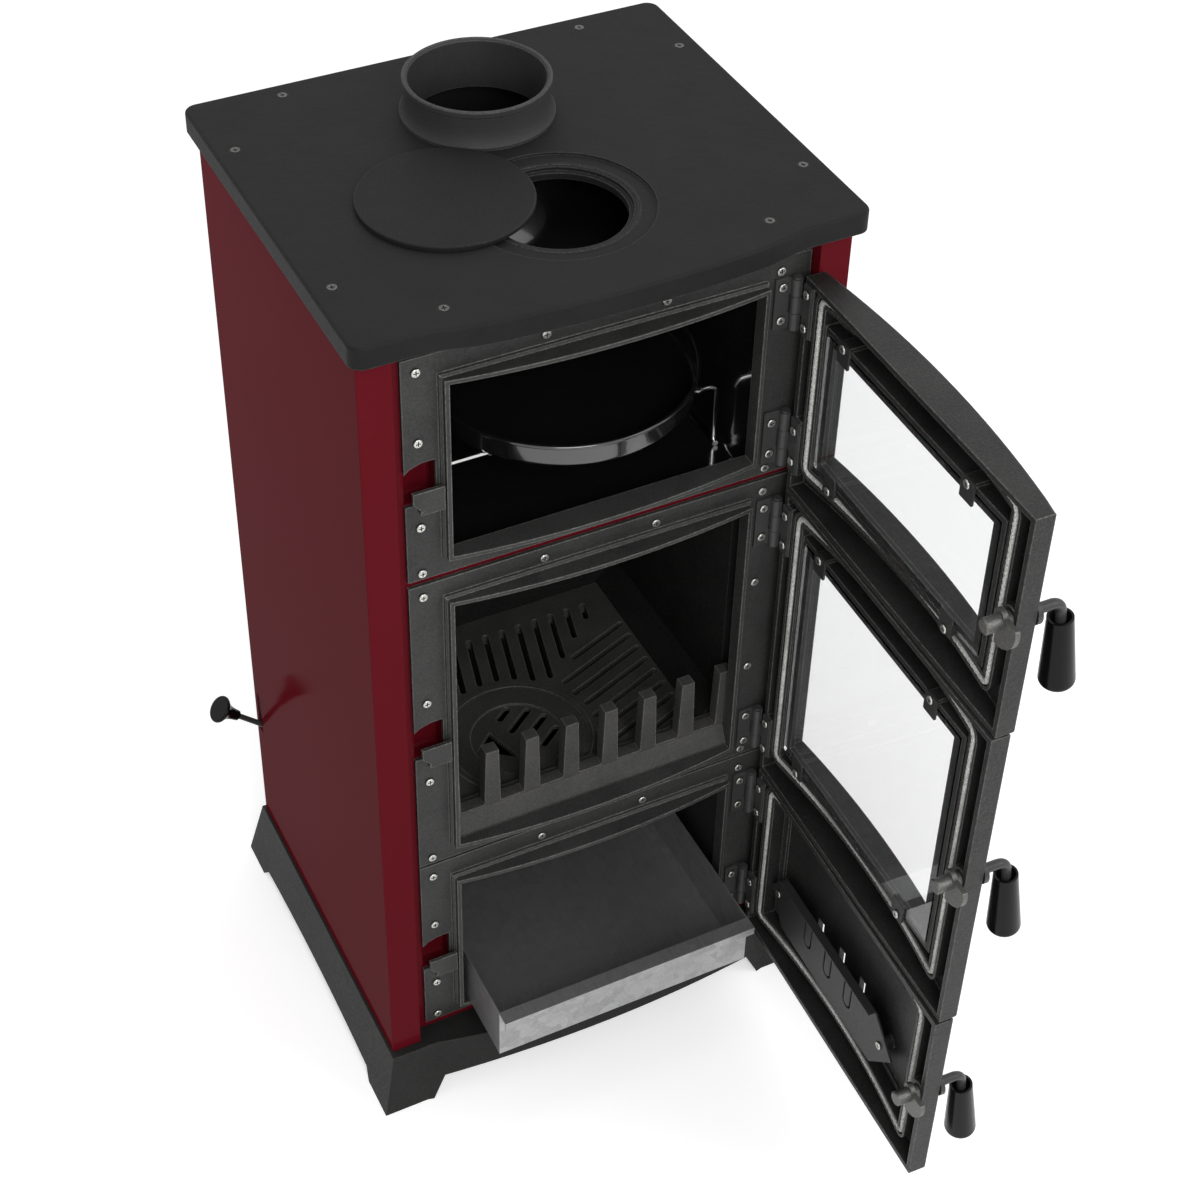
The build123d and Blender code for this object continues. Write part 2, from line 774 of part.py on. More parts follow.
def window_work(door, kind):
    """Add a window's seat and clip pads to a door, and cut its opening."""
    z0, z1 = door_spans[kind]
    g0, g1, gz0, gz1 = windows_in_doors[kind]["glass"]
    h0, h1, hz0, hz1 = windows_in_doors[kind]["hole"]
    lip = 6.0
    seat = block(g0 - lip, g1 + lip, glass_seat_depth, 60, gz0 - lip, gz1 + lip)
    rim = block(g0 - lip, g1 + lip, glass_seat_depth - glass_thickness + 1.5, 60, gz0 - lip, gz1 + lip)
    rim -= block(g0 - seat_gap, g1 + seat_gap, -5, 60, gz0 - seat_gap, gz1 + seat_gap)
    core = (seat + rim) & bowed_slab(door_near, door_far, z0, z1, -5, 1)
    door += core
    for u, z, way in clip_places(kind):
        pad = block(u - 7, u + 7, clip_pad_depth, 60, z - way * 4, z + way * 6)
        door += pad & bowed_slab(door_near, door_far, z0, z1, -5, 1)
    keep_out = block(g0 - seat_gap, g1 + seat_gap, -5, glass_seat_depth, gz0 - seat_gap, gz1 + seat_gap)
    door -= keep_out
    door -= block(h0, h1, -5, 60, hz0, hz1)
    door -= block(h0 - 5, h1 + 5, glass_seat_depth + 5, 60, hz0 - 1, hz1 + 1)
    for u, z, way in clip_places(kind):
        door -= rod_y(u, z, -5, clip_pad_depth + 8, screw_shank_radius + screw_fit)
    return door


clip_pad_depth = glass_seat_depth - glass_thickness - 0.2
clip_sheet = 1.8


def make_glass(kind):
    """One pane of heat-proof glass in its seat."""
    u0, u1, z0, z1 = windows_in_doors[kind]["glass"]
    pane = block(u0, u1, glass_seat_depth - glass_thickness, glass_seat_depth - 0.15, z0, z1)
    pane = chamfer(pane.edges().filter_by(Axis.Y), 2.0)
    return place_door(pane, kind)


def make_clips(kind):
    """The bent clips that hold the pane, each reaching over its edge."""
    clips = []
    y1 = clip_pad_depth
    y0 = y1 - clip_sheet
    for u, z, way in clip_places(kind):
        reach = z + way * 17.0
        back = z - way * 5.0
        clip = block(u - 9, u + 9, y0, y1, min(back, reach), max(back, reach))
        clip = fillet(clip.edges().filter_by(Axis.Y), 1.5)
        clip -= rod_y(u, z, -5, 20, screw_shank_radius + screw_fit)
        clips.append(place_door(clip, kind).solids()[0])
    return clips


def make_gasket(kind):
    """The rope gasket in its channel, bowed like the rim that it seals against."""
    rope = ring_between(kind, rope_width / 2, -rope_width / 2, 0)
    return place_door(rope & rim_bow_slab(kind, 12, rope_width, -20), kind)


def make_door_leaves(kind):
    """The door-side hinge leaves, each with its middle knuckle."""
    leaves = []
    for low, high in hinge_leaves[kind]:
        middle = leaf_thirds(low, high)[1]
        plate = block(8.5, 20.5, door_wall_back - hinge_leaf, door_wall_back, low, high)
        arm = block(0, 12, door_wall_back - hinge_leaf, door_wall_back, middle[0], middle[1])
        leaf = plate + arm
        leaf += post(0, 0, middle[0], middle[1], knuckle_radius)
        leaf -= post(0, 0, low - 1, high + 1, pin_radius + 0.05)
        mid = (low + high) / 2
        for z in (mid + leaf_screw_pitch / 2, mid - leaf_screw_pitch / 2):
            leaf -= rod_y(14.5, z, -5, 13, screw_shank_radius + screw_fit)
        leaves.append(place_door(leaf, kind).solids()[0])
    return leaves


def make_door_screws(kind):
    """The screws on one door: hinge leaves, glass clips or air plate."""
    screws = []
    for u, z in door_leaf_places(kind):
        screws.append(screw_y(u, z, door_wall_back - hinge_leaf, hinge_leaf + 7))
    if kind in windows_in_doors:
        for u, z, way in clip_places(kind):
            screws.append(screw_y(u, z, clip_pad_depth - clip_sheet, clip_sheet + 7))
    else:
        for u, z in air_plate_screws:
            screws.append(screw_y(u, z, air_plate_depth, air_plate_sheet + 5))
    return [place_door(s, kind).solids()[0] for s in screws]


# Ash door air plate

air_plate_depth = 14.0
air_plate_sheet = 2.0
air_plate_screws = [(52.0, -797.0), (256.0, -797.0)]
air_slot_places = [113.0, 153.0, 193.0]
air_slot_width = 15.0
ash_border_inset = 13.0
ash_border_width = 5.0
ash_border_height = 3.0
air_slot_z = (-812.0, -775.0)


def ash_panel_work(door, kind):
    """Add the raised pads behind the air plate and cut the air slots."""
    z0, z1 = door_spans[kind]
    for u, z in air_plate_screws:
        pad = Pos(u, 0, z) * Rot(90, 0, 0) * Cylinder(7, 120)
        pad &= block(0, 400, air_plate_depth + air_plate_sheet, 60, -1000, 0)
        door += pad & bowed_slab(door_near, door_far, z0, z1, -5, 1)
        door -= rod_y(u, z, -5, air_plate_depth + air_plate_sheet + 6, screw_shank_radius + screw_fit)
    border = ring_between(kind, -ash_border_inset, -ash_border_inset - ash_border_width, -20)
    shell = bowed_slab(door_near + 1, door_far - 1, z0 + 1, z1 - 1, -5, door_skin - 1)
    shell -= bowed_slab(door_near, door_far, z0, z1, -6, door_skin + ash_border_height)
    door += border & shell
    for u in air_slot_places:
        low, high = air_slot_z
        slot = block(u - 5, u + 5, -5, 60, low + 5, high - 5)
        door -= slot
    return door


def make_air_plate():
    """The six-sided plate behind the ash door's air slots, with tongue-shaped slots."""
    outline = [(38, -797), (62, -764), (243, -764), (278, -797), (243, -838), (62, -838)]
    face = make_face(Polyline(*[(u, 0, z) for u, z in outline], close=True))
    y0 = air_plate_depth
    plate = Pos(0, y0, 0) * extrude(face, air_plate_sheet, dir=(0, 1, 0))
    plate += block(64, 241, y0 - 7, y0 + air_plate_sheet, -764 - air_plate_sheet, -764)
    low, high = air_slot_z
    for u in air_slot_places:
        radius = air_slot_width / 2
        outer = block(u - radius, u + radius, y0 - 1, y0 + 4, low + radius, high)
        outer += Pos(u, y0 + 1.5, low + radius) * Rot(90, 0, 0) * Cylinder(radius, 5)
        tongue = block(u - radius + 2.2, u + radius - 2.2, y0 - 2, y0 + 5, low + radius, high)
        tongue += Pos(u, y0 + 1.5, low + radius) * Rot(90, 0, 0) * Cylinder(radius - 2.2, 7)
        plate -= outer - tongue
    for u, z in air_plate_screws:
        plate -= rod_y(u, z, y0 - 10, y0 + 10, screw_shank_radius + screw_fit)
    return place_door(plate, "ash")


# Latches and handles, in door axes


def handle_base(kind):
    """The depth of the door's face at the latch."""
    return door_depth(latch_along_door, 0)


def make_cam(kind):
    """The cast hub with its locking wing."""
    z = latch_z(kind)
    u = latch_along_door
    depth = door_wall_back - seat_gap
    hub = rod_y(u, z, hub_end_depth, depth, hub_radius)
    hub = chamfer(hub.faces().sort_by(Axis.Y)[0].edges(), 1.2)
    wing = fan(u, z) + lobe(u, z, lobe_reach, lobe_lean)
    cam = hub + wing
    cam -= rod_y(u, z, hub_end_depth + 3, depth + 1, latch_rod_radius)
    pin = Pos(u - 4, hub_end_depth + 7.5, z) * Rot(0, 90, 0) * Cylinder(1.3, 20)
    return place_door(cam - (pin & block(u - 20, u - 3, -50, 50, -1000, 0)), kind)


def fan(u, z):
    """The broad lobe of a latch wing, from straight down round to the door's free side."""
    y0, y1 = wing_front_depth - wing_thickness, wing_front_depth
    plate = rod_y(u, z, y0, y1, fan_reach)
    quarter = block(u - 2, u + fan_reach + 1, y0, y1, z - fan_reach - 1, z + hub_radius - 0.5)
    plate &= quarter
    corners = plate.edges().filter_by(Axis.Y)
    return fillet(corners, fan_corner)


def lobe(u, z, reach, lean):
    """One rounded lobe of a latch wing, reaching down and leaning by an angle."""
    tip = hub_radius - 0.4
    y0, y1 = wing_front_depth - wing_thickness, wing_front_depth
    arm = block(-tip, tip, y0, y1, -(reach - tip), 0)
    end = Pos(0, (y0 + y1) / 2, -(reach - tip)) * Rot(90, 0, 0) * Cylinder(tip, y1 - y0)
    return Pos(u, 0, z) * Rot(0, lean, 0) * (arm + end)


def make_rosette(kind):
    """The round escutcheon between the door and the handle."""
    z = latch_z(kind)
    u = latch_along_door
    base = handle_base(kind)
    disc = rod_y(u, z, base - 3, base + 3.0, latch_boss_radius + 0.5)
    disc -= bowed_slab(door_near - 30, door_far + 30, z - 30, z + 30, -5, -0.1)
    disc = max(disc.solids(), key=lambda s: s.volume)
    disc -= rod_y(u, z, -50, 100, latch_rod_radius + latch_bore_clearance)
    return place_door(disc, kind)


def handle_path(kind):
    """Where the handle's rod ends and bends."""
    z = latch_z(kind)
    u = latch_along_door
    base = handle_base(kind)
    corner = base + handle_standoff
    lean = math.radians(grip_tilt)
    drop = 30.0
    end = (u, corner + drop * math.sin(lean), z - drop * math.cos(lean))
    return (u, hub_end_depth + 3.2, z), (u, corner, z), end


def make_handle_rod(kind):
    """The bent steel rod from the latch hub to the grip."""
    start, corner, end = handle_path(kind)
    path = FilletPolyline(start, corner, end, radius=11.0)
    section = Plane(origin=start, z_dir=(0, 1, 0)) * Circle(latch_rod_radius - 0.02)
    return place_door(sweep(section, path=path), kind)


def make_grip(kind):
    """The tapered grip on the handle's rod, hollow at its top."""
    top = -17.0
    low = top - grip_length
    r0, r1 = grip_top_radius, grip_bottom_radius
    hole = latch_rod_radius
    profile = make_face(
        [
            Line((0, 0, low), (r1 - 6, 0, low)),
            ThreePointArc((r1 - 6, 0, low), (r1 - 1.6, 0, low + 1.9), (r1, 0, low + 6.5)),
            Line((r1, 0, low + 6.5), (r0, 0, top)),
            Line((r0, 0, top), (r0 - 2, 0, top)),
            Line((r0 - 2, 0, top), (hole, 0, top - 7)),
            Line((hole, 0, top - 7), (hole, 0, -30.0)),
            Line((hole, 0, -30.0), (0, 0, -30.0)),
            Line((0, 0, -30.0), (0, 0, low)),
        ]
    )
    grip = revolve(profile, Axis.Z)
    u, corner_depth, z = handle_path(kind)[1]
    return place_door(Pos(u, corner_depth, z) * Rot(grip_tilt, 0, 0) * grip, kind)


# Inner shells


def make_inner_casing():
    """The welded steel casing round the oven and firebox, open at the front and top."""
    t = casing_sheet
    half = casing_half_width
    z0, z1 = grate_top_z - grate_thickness - 2, plate_under_z - 5
    y0 = casing_front_y + seat_gap
    wall = block(-half, half, y0, casing_back_y, z0, z1)
    inner = block(-half + t, half - t, y0 - 1, casing_back_y - t, z0 - 1, z1 + 1)
    casing = wall - inner
    for kind in frames:
        casing -= pocket_box(kind, panel_sheet + 0.4)
    ledge = block(-half + t, half - t, y0, casing_back_y - t, z0, z0 + t)
    opening = block(-ash_half_width, ash_half_width, y0 - 1, front_y + grate_far - 8, z0 - 1, z0 + t + 1)
    casing += ledge - opening
    return casing


def make_ash_box():
    """The box under the grate: floor, sides and back, with the air inlet in its left wall."""
    t = 1.5
    z1 = grate_top_z - grate_thickness - 2
    y0 = casing_front_y + seat_gap
    y1 = casing_back_y
    outer = block(-ash_half_width - t, ash_half_width + t, y0, y1, ash_floor_z - t, z1)
    inner = block(-ash_half_width, ash_half_width, y0 - 1, y1 - t, ash_floor_z, z1 + 1)
    box = outer - inner
    box -= air_inlet_block()
    return box


def air_inlet_block():
    """The air inlet's opening in the ash box's left wall."""
    y0 = lever_line_y - 62
    return block(-ash_half_width - 5, -ash_half_width + 5, y0 + 6, y0 + 40, -839, -812)


lever_line_y = back_y - 12.0
lever_shaft_x = -ash_half_width - 10.0
lever_shaft_z = -800.0
lever_angle = 43.5
lever_radius = 3.0
lever_slot_span = (-748.0, -696.0)
lever_knob_reach = 150.0


def lever_point(distance):
    """A point on the air lever's arm at a distance from its shaft."""
    a = math.radians(lever_angle)
    x = lever_shaft_x - distance * math.cos(a)
    z = lever_shaft_z + distance * math.sin(a)
    return x, lever_line_y, z


def make_air_lever():
    """The air lever: a shaft along the ash box, bent out into an arm."""
    start = (lever_shaft_x, lever_line_y - 66, lever_shaft_z)
    corner = (lever_shaft_x, lever_line_y, lever_shaft_z)
    end = lever_point(lever_knob_reach - 24)
    path = FilletPolyline(start, corner, end, radius=8.0)
    section = Plane(origin=start, z_dir=(0, 1, 0)) * Circle(lever_radius)
    return sweep(section, path=path)


def make_air_knob():
    """The flared knob on the air lever's end."""
    top = lever_knob_reach
    profile = make_face(
        [
            Line((0, 0, top), (13.0, 0, top)),
            ThreePointArc((13.0, 0, top), (14.4, 0, top - 1.6), (13.6, 0, top - 4)),
            Bezier((13.6, 0, top - 4), (9.0, 0, top - 9), (6.2, 0, top - 14), (5.6, 0, top - 26)),
            Line((5.6, 0, top - 26), (lever_radius, 0, top - 26)),
            Line((lever_radius, 0, top - 26), (lever_radius, 0, top - 24)),
            Line((lever_radius, 0, top - 24), (0, 0, top - 24)),
            Line((0, 0, top - 24), (0, 0, top)),
        ]
    )
    knob = revolve(profile, Axis.Z)
    turn = Rot(0, -(90 - lever_angle), 0)
    return Pos(lever_shaft_x, lever_line_y, lever_shaft_z) * turn * knob


def make_air_flap():
    """The flap on the lever's shaft that covers the air inlet."""
    y0 = lever_line_y - 62
    x1 = -ash_half_width - 1.5 - 0.6
    flap = block(x1 - 1.5, x1, y0, y0 + 46, -845, lever_shaft_z)
    sleeve = rod_y(lever_shaft_x, lever_shaft_z, y0, y0 + 46, lever_radius + 2)
    bridge = block(lever_shaft_x, x1, y0, y0 + 46, lever_shaft_z - 5, lever_shaft_z - 2)
    flap += sleeve + bridge
    return flap - rod_y(lever_shaft_x, lever_shaft_z, y0 - 1, y0 + 47, lever_radius)


def make_lever_bracket():
    """The two lugs on the ash box that the lever's shaft turns in."""
    lugs = []
    for y in (lever_line_y - 66, lever_line_y - 14.6):
        x1 = -ash_half_width - 1.5
        lug = block(lever_shaft_x - 6, x1, y, y + 3, lever_shaft_z - 6, lever_shaft_z + 6)
        lug -= rod_y(lever_shaft_x, lever_shaft_z, y - 1, y + 4, lever_radius + 0.08)
        lugs.append(lug.solids()[0])
    return lugs


def make_oven_box():
    """The enamelled oven: a closed box open at the front, with its front lip."""
    t = oven_sheet
    half = oven_half_width
    y0 = sheet_y + 0.1
    y1 = y0 + oven_depth
    outer = block(-half - t, half + t, y0, y1 + t, oven_floor_z - t, oven_roof_z + t)
    inner = block(-half, half, y0 - 1, y1, oven_floor_z, oven_roof_z)
    edges = inner.edges().filter_by(Axis.Y)
    inner = fillet(edges, 6)
    outer = fillet(outer.edges().filter_by(Axis.Y), 6 + t)
    return outer - inner


def wire(points, radius, bend):
    """A bent wire through the points given."""
    path = FilletPolyline(*points, radius=bend)
    direction = Vector(*points[1]) - Vector(*points[0])
    section = Plane(origin=points[0], z_dir=direction.normalized()) * Circle(radius)
    return sweep(section, path=path)


rack_top_z = -207.5
rack_front_y = front_y + 66.0
rack_back_y = front_y + body_depth - 94.0
rack_half_width = oven_half_width - 9.5
rack_wire = 2.5
rack_bars = 7


def make_oven_rack():
    """The wire rack that stands in the oven on four legs."""
    r = rack_wire
    z = rack_top_z
    runner = r + 0.4
    floor = oven_floor_z + runner + 0.05
    half = rack_half_width
    rack = None
    for x in (-half, half):
        side = rod_y(x, floor, rack_front_y - 5, rack_back_y + 5, runner)
        rack = side if rack is None else rack + side
    for y in (rack_front_y, rack_back_y):
        points = [(-half, y, floor + 0.3), (-half, y, z), (half, y, z), (half, y, floor + 0.3)]
        rack += wire(points, r, 8)
    for i in range(rack_bars):
        x = -half + 18 + i * (2 * half - 36) / (rack_bars - 1)
        rack += rod_y(x, z + 0.4, rack_front_y - 4, rack_back_y + 4, r - 0.6)
    return rack


pan_radius = 125.0
pan_height = 25.0
pan_x = 15.0
pan_y = front_y + 3.0 + pan_radius
pan_bottom_z = rack_top_z + rack_wire + 0.05


def make_baking_pan():
    """The round enamelled pan with its rolled rim."""
    r1 = pan_radius
    r0 = r1 - 9
    t = 1.2
    h = pan_height
    profile = make_face(
        [
            Line((0, 0, 0), (r0 - 4, 0, 0)),
            ThreePointArc((r0 - 4, 0, 0), (r0 - 1.2, 0, 1.2), (r0, 0, 4)),
            Line((r0, 0, 4), (r1 - 3.4, 0, h - 3.2)),
            ThreePointArc((r1 - 3.4, 0, h - 3.2), (r1 - 0.6, 0, h - 3.4), (r1, 0, h - 1.4)),
            ThreePointArc((r1, 0, h - 1.4), (r1 - 1.4, 0, h), (r1 - 3.6, 0, h - 0.8)),
            Line((r1 - 3.6, 0, h - 0.8), (r0 - t, 0, 4.6)),
            ThreePointArc((r0 - t, 0, 4.6), (r0 - t - 1.0, 0, 2.2), (r0 - 4 - t, 0, t)),
            Line((r0 - 4 - t, 0, t), (0, 0, t)),
            Line((0, 0, t), (0, 0, 0)),
        ]
    )
    return Pos(pan_x, pan_y, pan_bottom_z) * revolve(profile, Axis.Z)


# Firebox lining and grate

ring_x = -41.0
ring_y = front_y + 94.0
ring_radius = 68.0
ring_step = 1.0


def make_liner_side(side):
    """A cast side lining plate with a foot that slopes to the grate."""
    half = liner_half_width
    t = liner_thickness
    foot_x = half - 22.0
    z0, z1 = grate_top_z + 0.1, oven_floor_z - oven_sheet - 6
    points = [
        (half, z1),
        (half, grate_top_z + 24),
        (foot_x, z0 + 3),
        (foot_x, z0),
        (half + t, z0),
        (half + t, z1),
    ]
    face = make_face(Polyline(*[(x, 0, z) for x, z in points], close=True))
    y0 = casing_front_y + seat_gap + 20.5
    y1 = front_y + grate_far
    plate = Pos(0, y0, 0) * extrude(face, y1 - y0, dir=(0, 1, 0))
    return plate if side > 0 else mirror(plate, Plane.YZ)


def make_liner_back():
    """The cast back lining plate."""
    t = liner_thickness
    z0, z1 = grate_top_z + 0.1, oven_floor_z - oven_sheet - 50
    y0 = front_y + grate_far + 0.3
    points = [(y0, z1), (y0, z0), (y0 + t, z0), (y0 + t, z1)]
    face = make_face(Polyline(*[(0, y, z) for y, z in points], close=True))
    half = liner_half_width + liner_thickness
    return Pos(-half, 0, 0) * extrude(face, 2 * half, dir=(1, 0, 0))


def slot_bar(cx, cy, length, width, angle, z0, z1):
    """A round-ended slot of the grate, lying at an angle from X."""
    mid = block(-length / 2 + width / 2, length / 2 - width / 2, -width / 2, width / 2, z0, z1)
    ends = post(-length / 2 + width / 2, 0, z0, z1, width / 2)
    ends += post(length / 2 - width / 2, 0, z0, z1, width / 2)
    return Pos(cx, cy, 0) * Rot(0, 0, angle) * (mid + ends)


def make_grate_plate():
    """The slotted grate plate with the seat of the round grate."""
    z1 = grate_top_z
    z0 = z1 - grate_thickness
    far = front_y + grate_far
    near = front_y + grate_near
    plate = block(-grate_half_width, grate_half_width, near, far, z0, z1)
    slots = back_field_slots() + right_field_slots()
    for cx, cy, length, angle in slots:
        plate -= slot_bar(cx, cy, length, slot_width, angle, z0 - 1, z1 + 1)
    plate += post(ring_x, ring_y, z0, z1 + ring_step, ring_radius + seat_wall)
    plate -= post(ring_x, ring_y, z0 + 5, z1 + 5, ring_radius + 0.5)
    plate -= post(ring_x, ring_y, z0 - 1, z1 + 5, ring_radius - seat_wall)
    return plate


slot_width = 6.0
seat_wall = 6.0
back_slot_lean = 76.0
back_slot_pitch = 18.4
back_slot_first_x = -121.0
back_slot_count = 13
back_slot_far_y = front_y + 238.0
right_slot_lean = 20.6
right_slot_pitch = 18.85
right_slot_first_y = front_y + 44.7
right_slot_count = 9
right_slot_far_x = 125.0
slot_to_seat = 5.0
slot_to_slot = 11.0
slot_to_near_edge = 9.0


def seat_top(x):
    """How far back the round grate's seat reaches at a place across the stove."""
    reach = ring_radius + seat_wall + slot_to_seat
    across = min(abs(x - ring_x), reach)
    return ring_y + math.sqrt(reach**2 - across**2)


def field_border(x):
    """The line that parts the slots behind the round grate from those at its right."""
    return ring_y + 61.0 + 0.885 * (x - ring_x - 67.0)


def back_field_slots():
    """The slots behind the round grate, leaning a little to the right."""
    slots = []
    lean = math.radians(back_slot_lean)
    for i in range(back_slot_count):
        x_far = back_slot_first_x + i * back_slot_pitch
        length = 10.0
        for step in range(90):
            x = x_far - math.cos(lean) * (length + 1.0)
            y = back_slot_far_y - math.sin(lean) * (length + 1.0)
            if y < max(seat_top(x), field_border(x)):
                break
            length += 1.0
        slots.append((
            x_far - math.cos(lean) * length / 2,
            back_slot_far_y - math.sin(lean) * length / 2,
            length,
            back_slot_lean,
        ))
    return slots


def right_field_slots():
    """The slots to the right of the round grate, rising to the right."""
    slots = []
    lean = math.radians(right_slot_lean)
    for i in range(right_slot_count):
        y_far = right_slot_first_y + i * right_slot_pitch
        length = 10.0
        for step in range(90):
            x = right_slot_far_x - math.cos(lean) * (length + 1.0)
            y = y_far - math.sin(lean) * (length + 1.0)
            over_border = y > field_border(x) - slot_to_slot
            in_seat = math.hypot(x - ring_x, y - ring_y) < ring_radius + seat_wall + slot_to_seat
            if over_border or in_seat or y < front_y + grate_near + slot_to_near_edge:
                break
            length += 1.0
        slots.append((
            right_slot_far_x - math.cos(lean) * length / 2,
            y_far - math.sin(lean) * length / 2,
            length,
            right_slot_lean,
        ))
    return slots


insert_slot_lean = 36.0
insert_slots = [(28.0, 11.0), (10.0, 3.0), (-8.0, 3.0), (-26.0, 3.0)]
insert_slot_width = 7.0
insert_field_radius = 46.0
insert_field_depth = 2.0
poker_hole = [(-22.0, 19.0), (-42.0, 1.0), (-9.0, -23.0)]


def make_round_grate():
    """The round grate insert: a raised border, a field of slanted slots and a poker hole."""
    z1 = grate_top_z
    z0 = z1 - grate_thickness + 5.0 + 0.1
    disc = post(ring_x, ring_y, z0, z1, ring_radius)
    disc -= post(ring_x, ring_y, z1 - insert_field_depth, z1 + 1, insert_field_radius)
    lean = math.radians(insert_slot_lean)
    for across, near in insert_slots:
        far = math.sqrt((insert_field_radius - 3.0) ** 2 - across**2)
        along = (near + far) / 2
        cx = ring_x + math.cos(lean) * along - math.sin(lean) * across
        cy = ring_y + math.sin(lean) * along + math.cos(lean) * across
        disc -= slot_bar(cx, cy, far - near, insert_slot_width, insert_slot_lean, z0 - 1, z1 + 1)
    hole = [(ring_x + x, ring_y + y) for x, y in poker_hole]
    return disc - outline_prism(hole, z0 - 1, z1 + 1)


apron_over_rim = 3.0
apron_lip = 3.0
fence_pitch = 2 * opening_half_width / 7
fence_tine_x = [k * fence_pitch - opening_half_width for k in range(8)]


def fence_apron(front, valley, low):
    """The slope in front of the tines, down over the sill of the firebox frame."""
    lip_y = frame_y - apron_over_rim
    sill = firebox_rim_span[0] + rim_wall + seat_gap
    outline = [
        (front + 1, valley - 1.5),
        (front + 1, low + 0.1),
        (front, low + 0.1),
        (front, sill),
        (lip_y, sill),
        (lip_y, sill + apron_lip),
    ]
    face = make_face(Polyline(*[(0, y, z) for y, z in outline], close=True))
    half = opening_half_width - seat_gap
    return Pos(-half, 0, 0) * extrude(face, 2 * half, dir=(1, 0, 0))


def make_log_fence():
    """The low cast fence that keeps logs from the door, with tapered tines."""
    front = casing_front_y + seat_gap
    back = front + 12.0
    half = liner_half_width
    low = grate_top_z + 0.1
    valley = -588.0
    crest = -520.0
    outline = [(-half, low), (half, low), (half, valley)]
    for x in reversed(fence_tine_x):
        outline += [(x + 8.5, valley), (x + 6.5, crest), (x - 6.5, crest), (x - 8.5, valley)]
    outline += [(-half, valley)]
    points = []
    for p in outline:
        if abs(p[0]) <= half + 0.01:
            points.append(p)
    face = make_face(Polyline(*[(x, 0, z) for x, z in points], close=True))
    fence = Pos(0, front, 0) * extrude(face, back - front, dir=(0, 1, 0))
    foot = block(-half, half, front, front + 20, low, low + 8)
    foot += fence_apron(front, valley, low)
    ring = post(ring_x, ring_y, low - 1, low + ring_step + seat_gap, ring_radius + 6.3)
    return fence + foot - ring


def make_ash_tray():
    """The folded galvanized ash tray with its front lip."""
    t = tray_sheet
    half = tray_half_width
    z0 = ash_floor_z + seat_gap
    z1 = z0 + tray_height
    y0 = front_y - tray_front_out
    y1 = y0 + tray_length
    tray = block(-half, half, y0, y1, z0, z1)
    tray -= block(-half + t, half - t, y0 + t, y1 - t, z0 + t, z1 + 1)
    lip_y = y0 - 14.0
    tray += block(-half, half, lip_y, y0 + t, z1 - t, z1)
    tray += block(-half, half, lip_y, lip_y + t, z1 - 9, z1)
    return tray


# Plinth


def plinth_face(z, grow_x, grow_front, grow_back, bow):
    """The plinth's outline at a height, as a face with a bowed front."""
    half = body_half_width + grow_x
    front = front_y - grow_front
    back = back_y + grow_back
    shoulder = half - 46.0
    edges = [
        Line((-shoulder, front, z), (-half, front, z)),
        Line((-half, front, z), (-half, back, z)),
        Line((-half, back, z), (half, back, z)),
        Line((half, back, z), (half, front, z)),
        Line((half, front, z), (shoulder, front, z)),
        ThreePointArc((shoulder, front, z), (0, front - bow, z), (-shoulder, front, z)),
    ]
    return make_face(edges)


plinth_height = 72.0
plinth_bow = 22.0
plinth_foot_z = body_bottom_z - plinth_height


def make_plinth():
    """The cast plinth: top plate, flared skirt and four feet between arches."""
    top, foot = plinth_top_z, plinth_foot_z
    w = 7.0
    outer = loft(
        [plinth_face(top, 3, 8.4, 4, plinth_bow), plinth_face(foot, 18, 19.0, 16, plinth_bow + 2)]
    )
    inner = loft(
        [
            plinth_face(top - w, 3 - w, 8.4 - w, 4 - w, plinth_bow),
            plinth_face(foot - 0.5, 18 - w, 19.0 - w, 16 - w, plinth_bow + 2),
        ]
    )
    plinth = outer - inner
    plinth -= block(-150, 150, front_y + 60, back_y - 40, top - 20, top + 5)
    arch_half = body_half_width - 40.0
    plinth -= arch_cut(-arch_half, arch_half, foot, foot + 40, 26, "y")
    side_mid = (front_y + back_y) / 2
    plinth -= arch_cut(side_mid - 150, side_mid + 150, foot, foot + 16, 10, "x")
    return plinth


def arch_cut(a, b, z0, crown, rise, way):
    """A cut through two opposite skirts, with sloped ends and a bowed top."""
    shoulder = crown - rise * 0.45
    mid = (a + b) / 2
    points = [(a - 8, z0 - 5), (a + 8, shoulder), (mid, crown), (b - 8, shoulder), (b + 8, z0 - 5)]

    def spot(p):
        return (p[0], 0, p[1]) if way == "y" else (0, p[0], p[1])

    edges = [
        Line(spot(points[0]), spot(points[1])),
        ThreePointArc(spot(points[1]), spot(points[2]), spot(points[3])),
        Line(spot(points[3]), spot(points[4])),
        Line(spot(points[4]), spot(points[0])),
    ]
    face = make_face(edges)
    direction = (0, 1, 0) if way == "y" else (1, 0, 0)
    return extrude(face, 900, dir=direction, both=True)


# Write every node

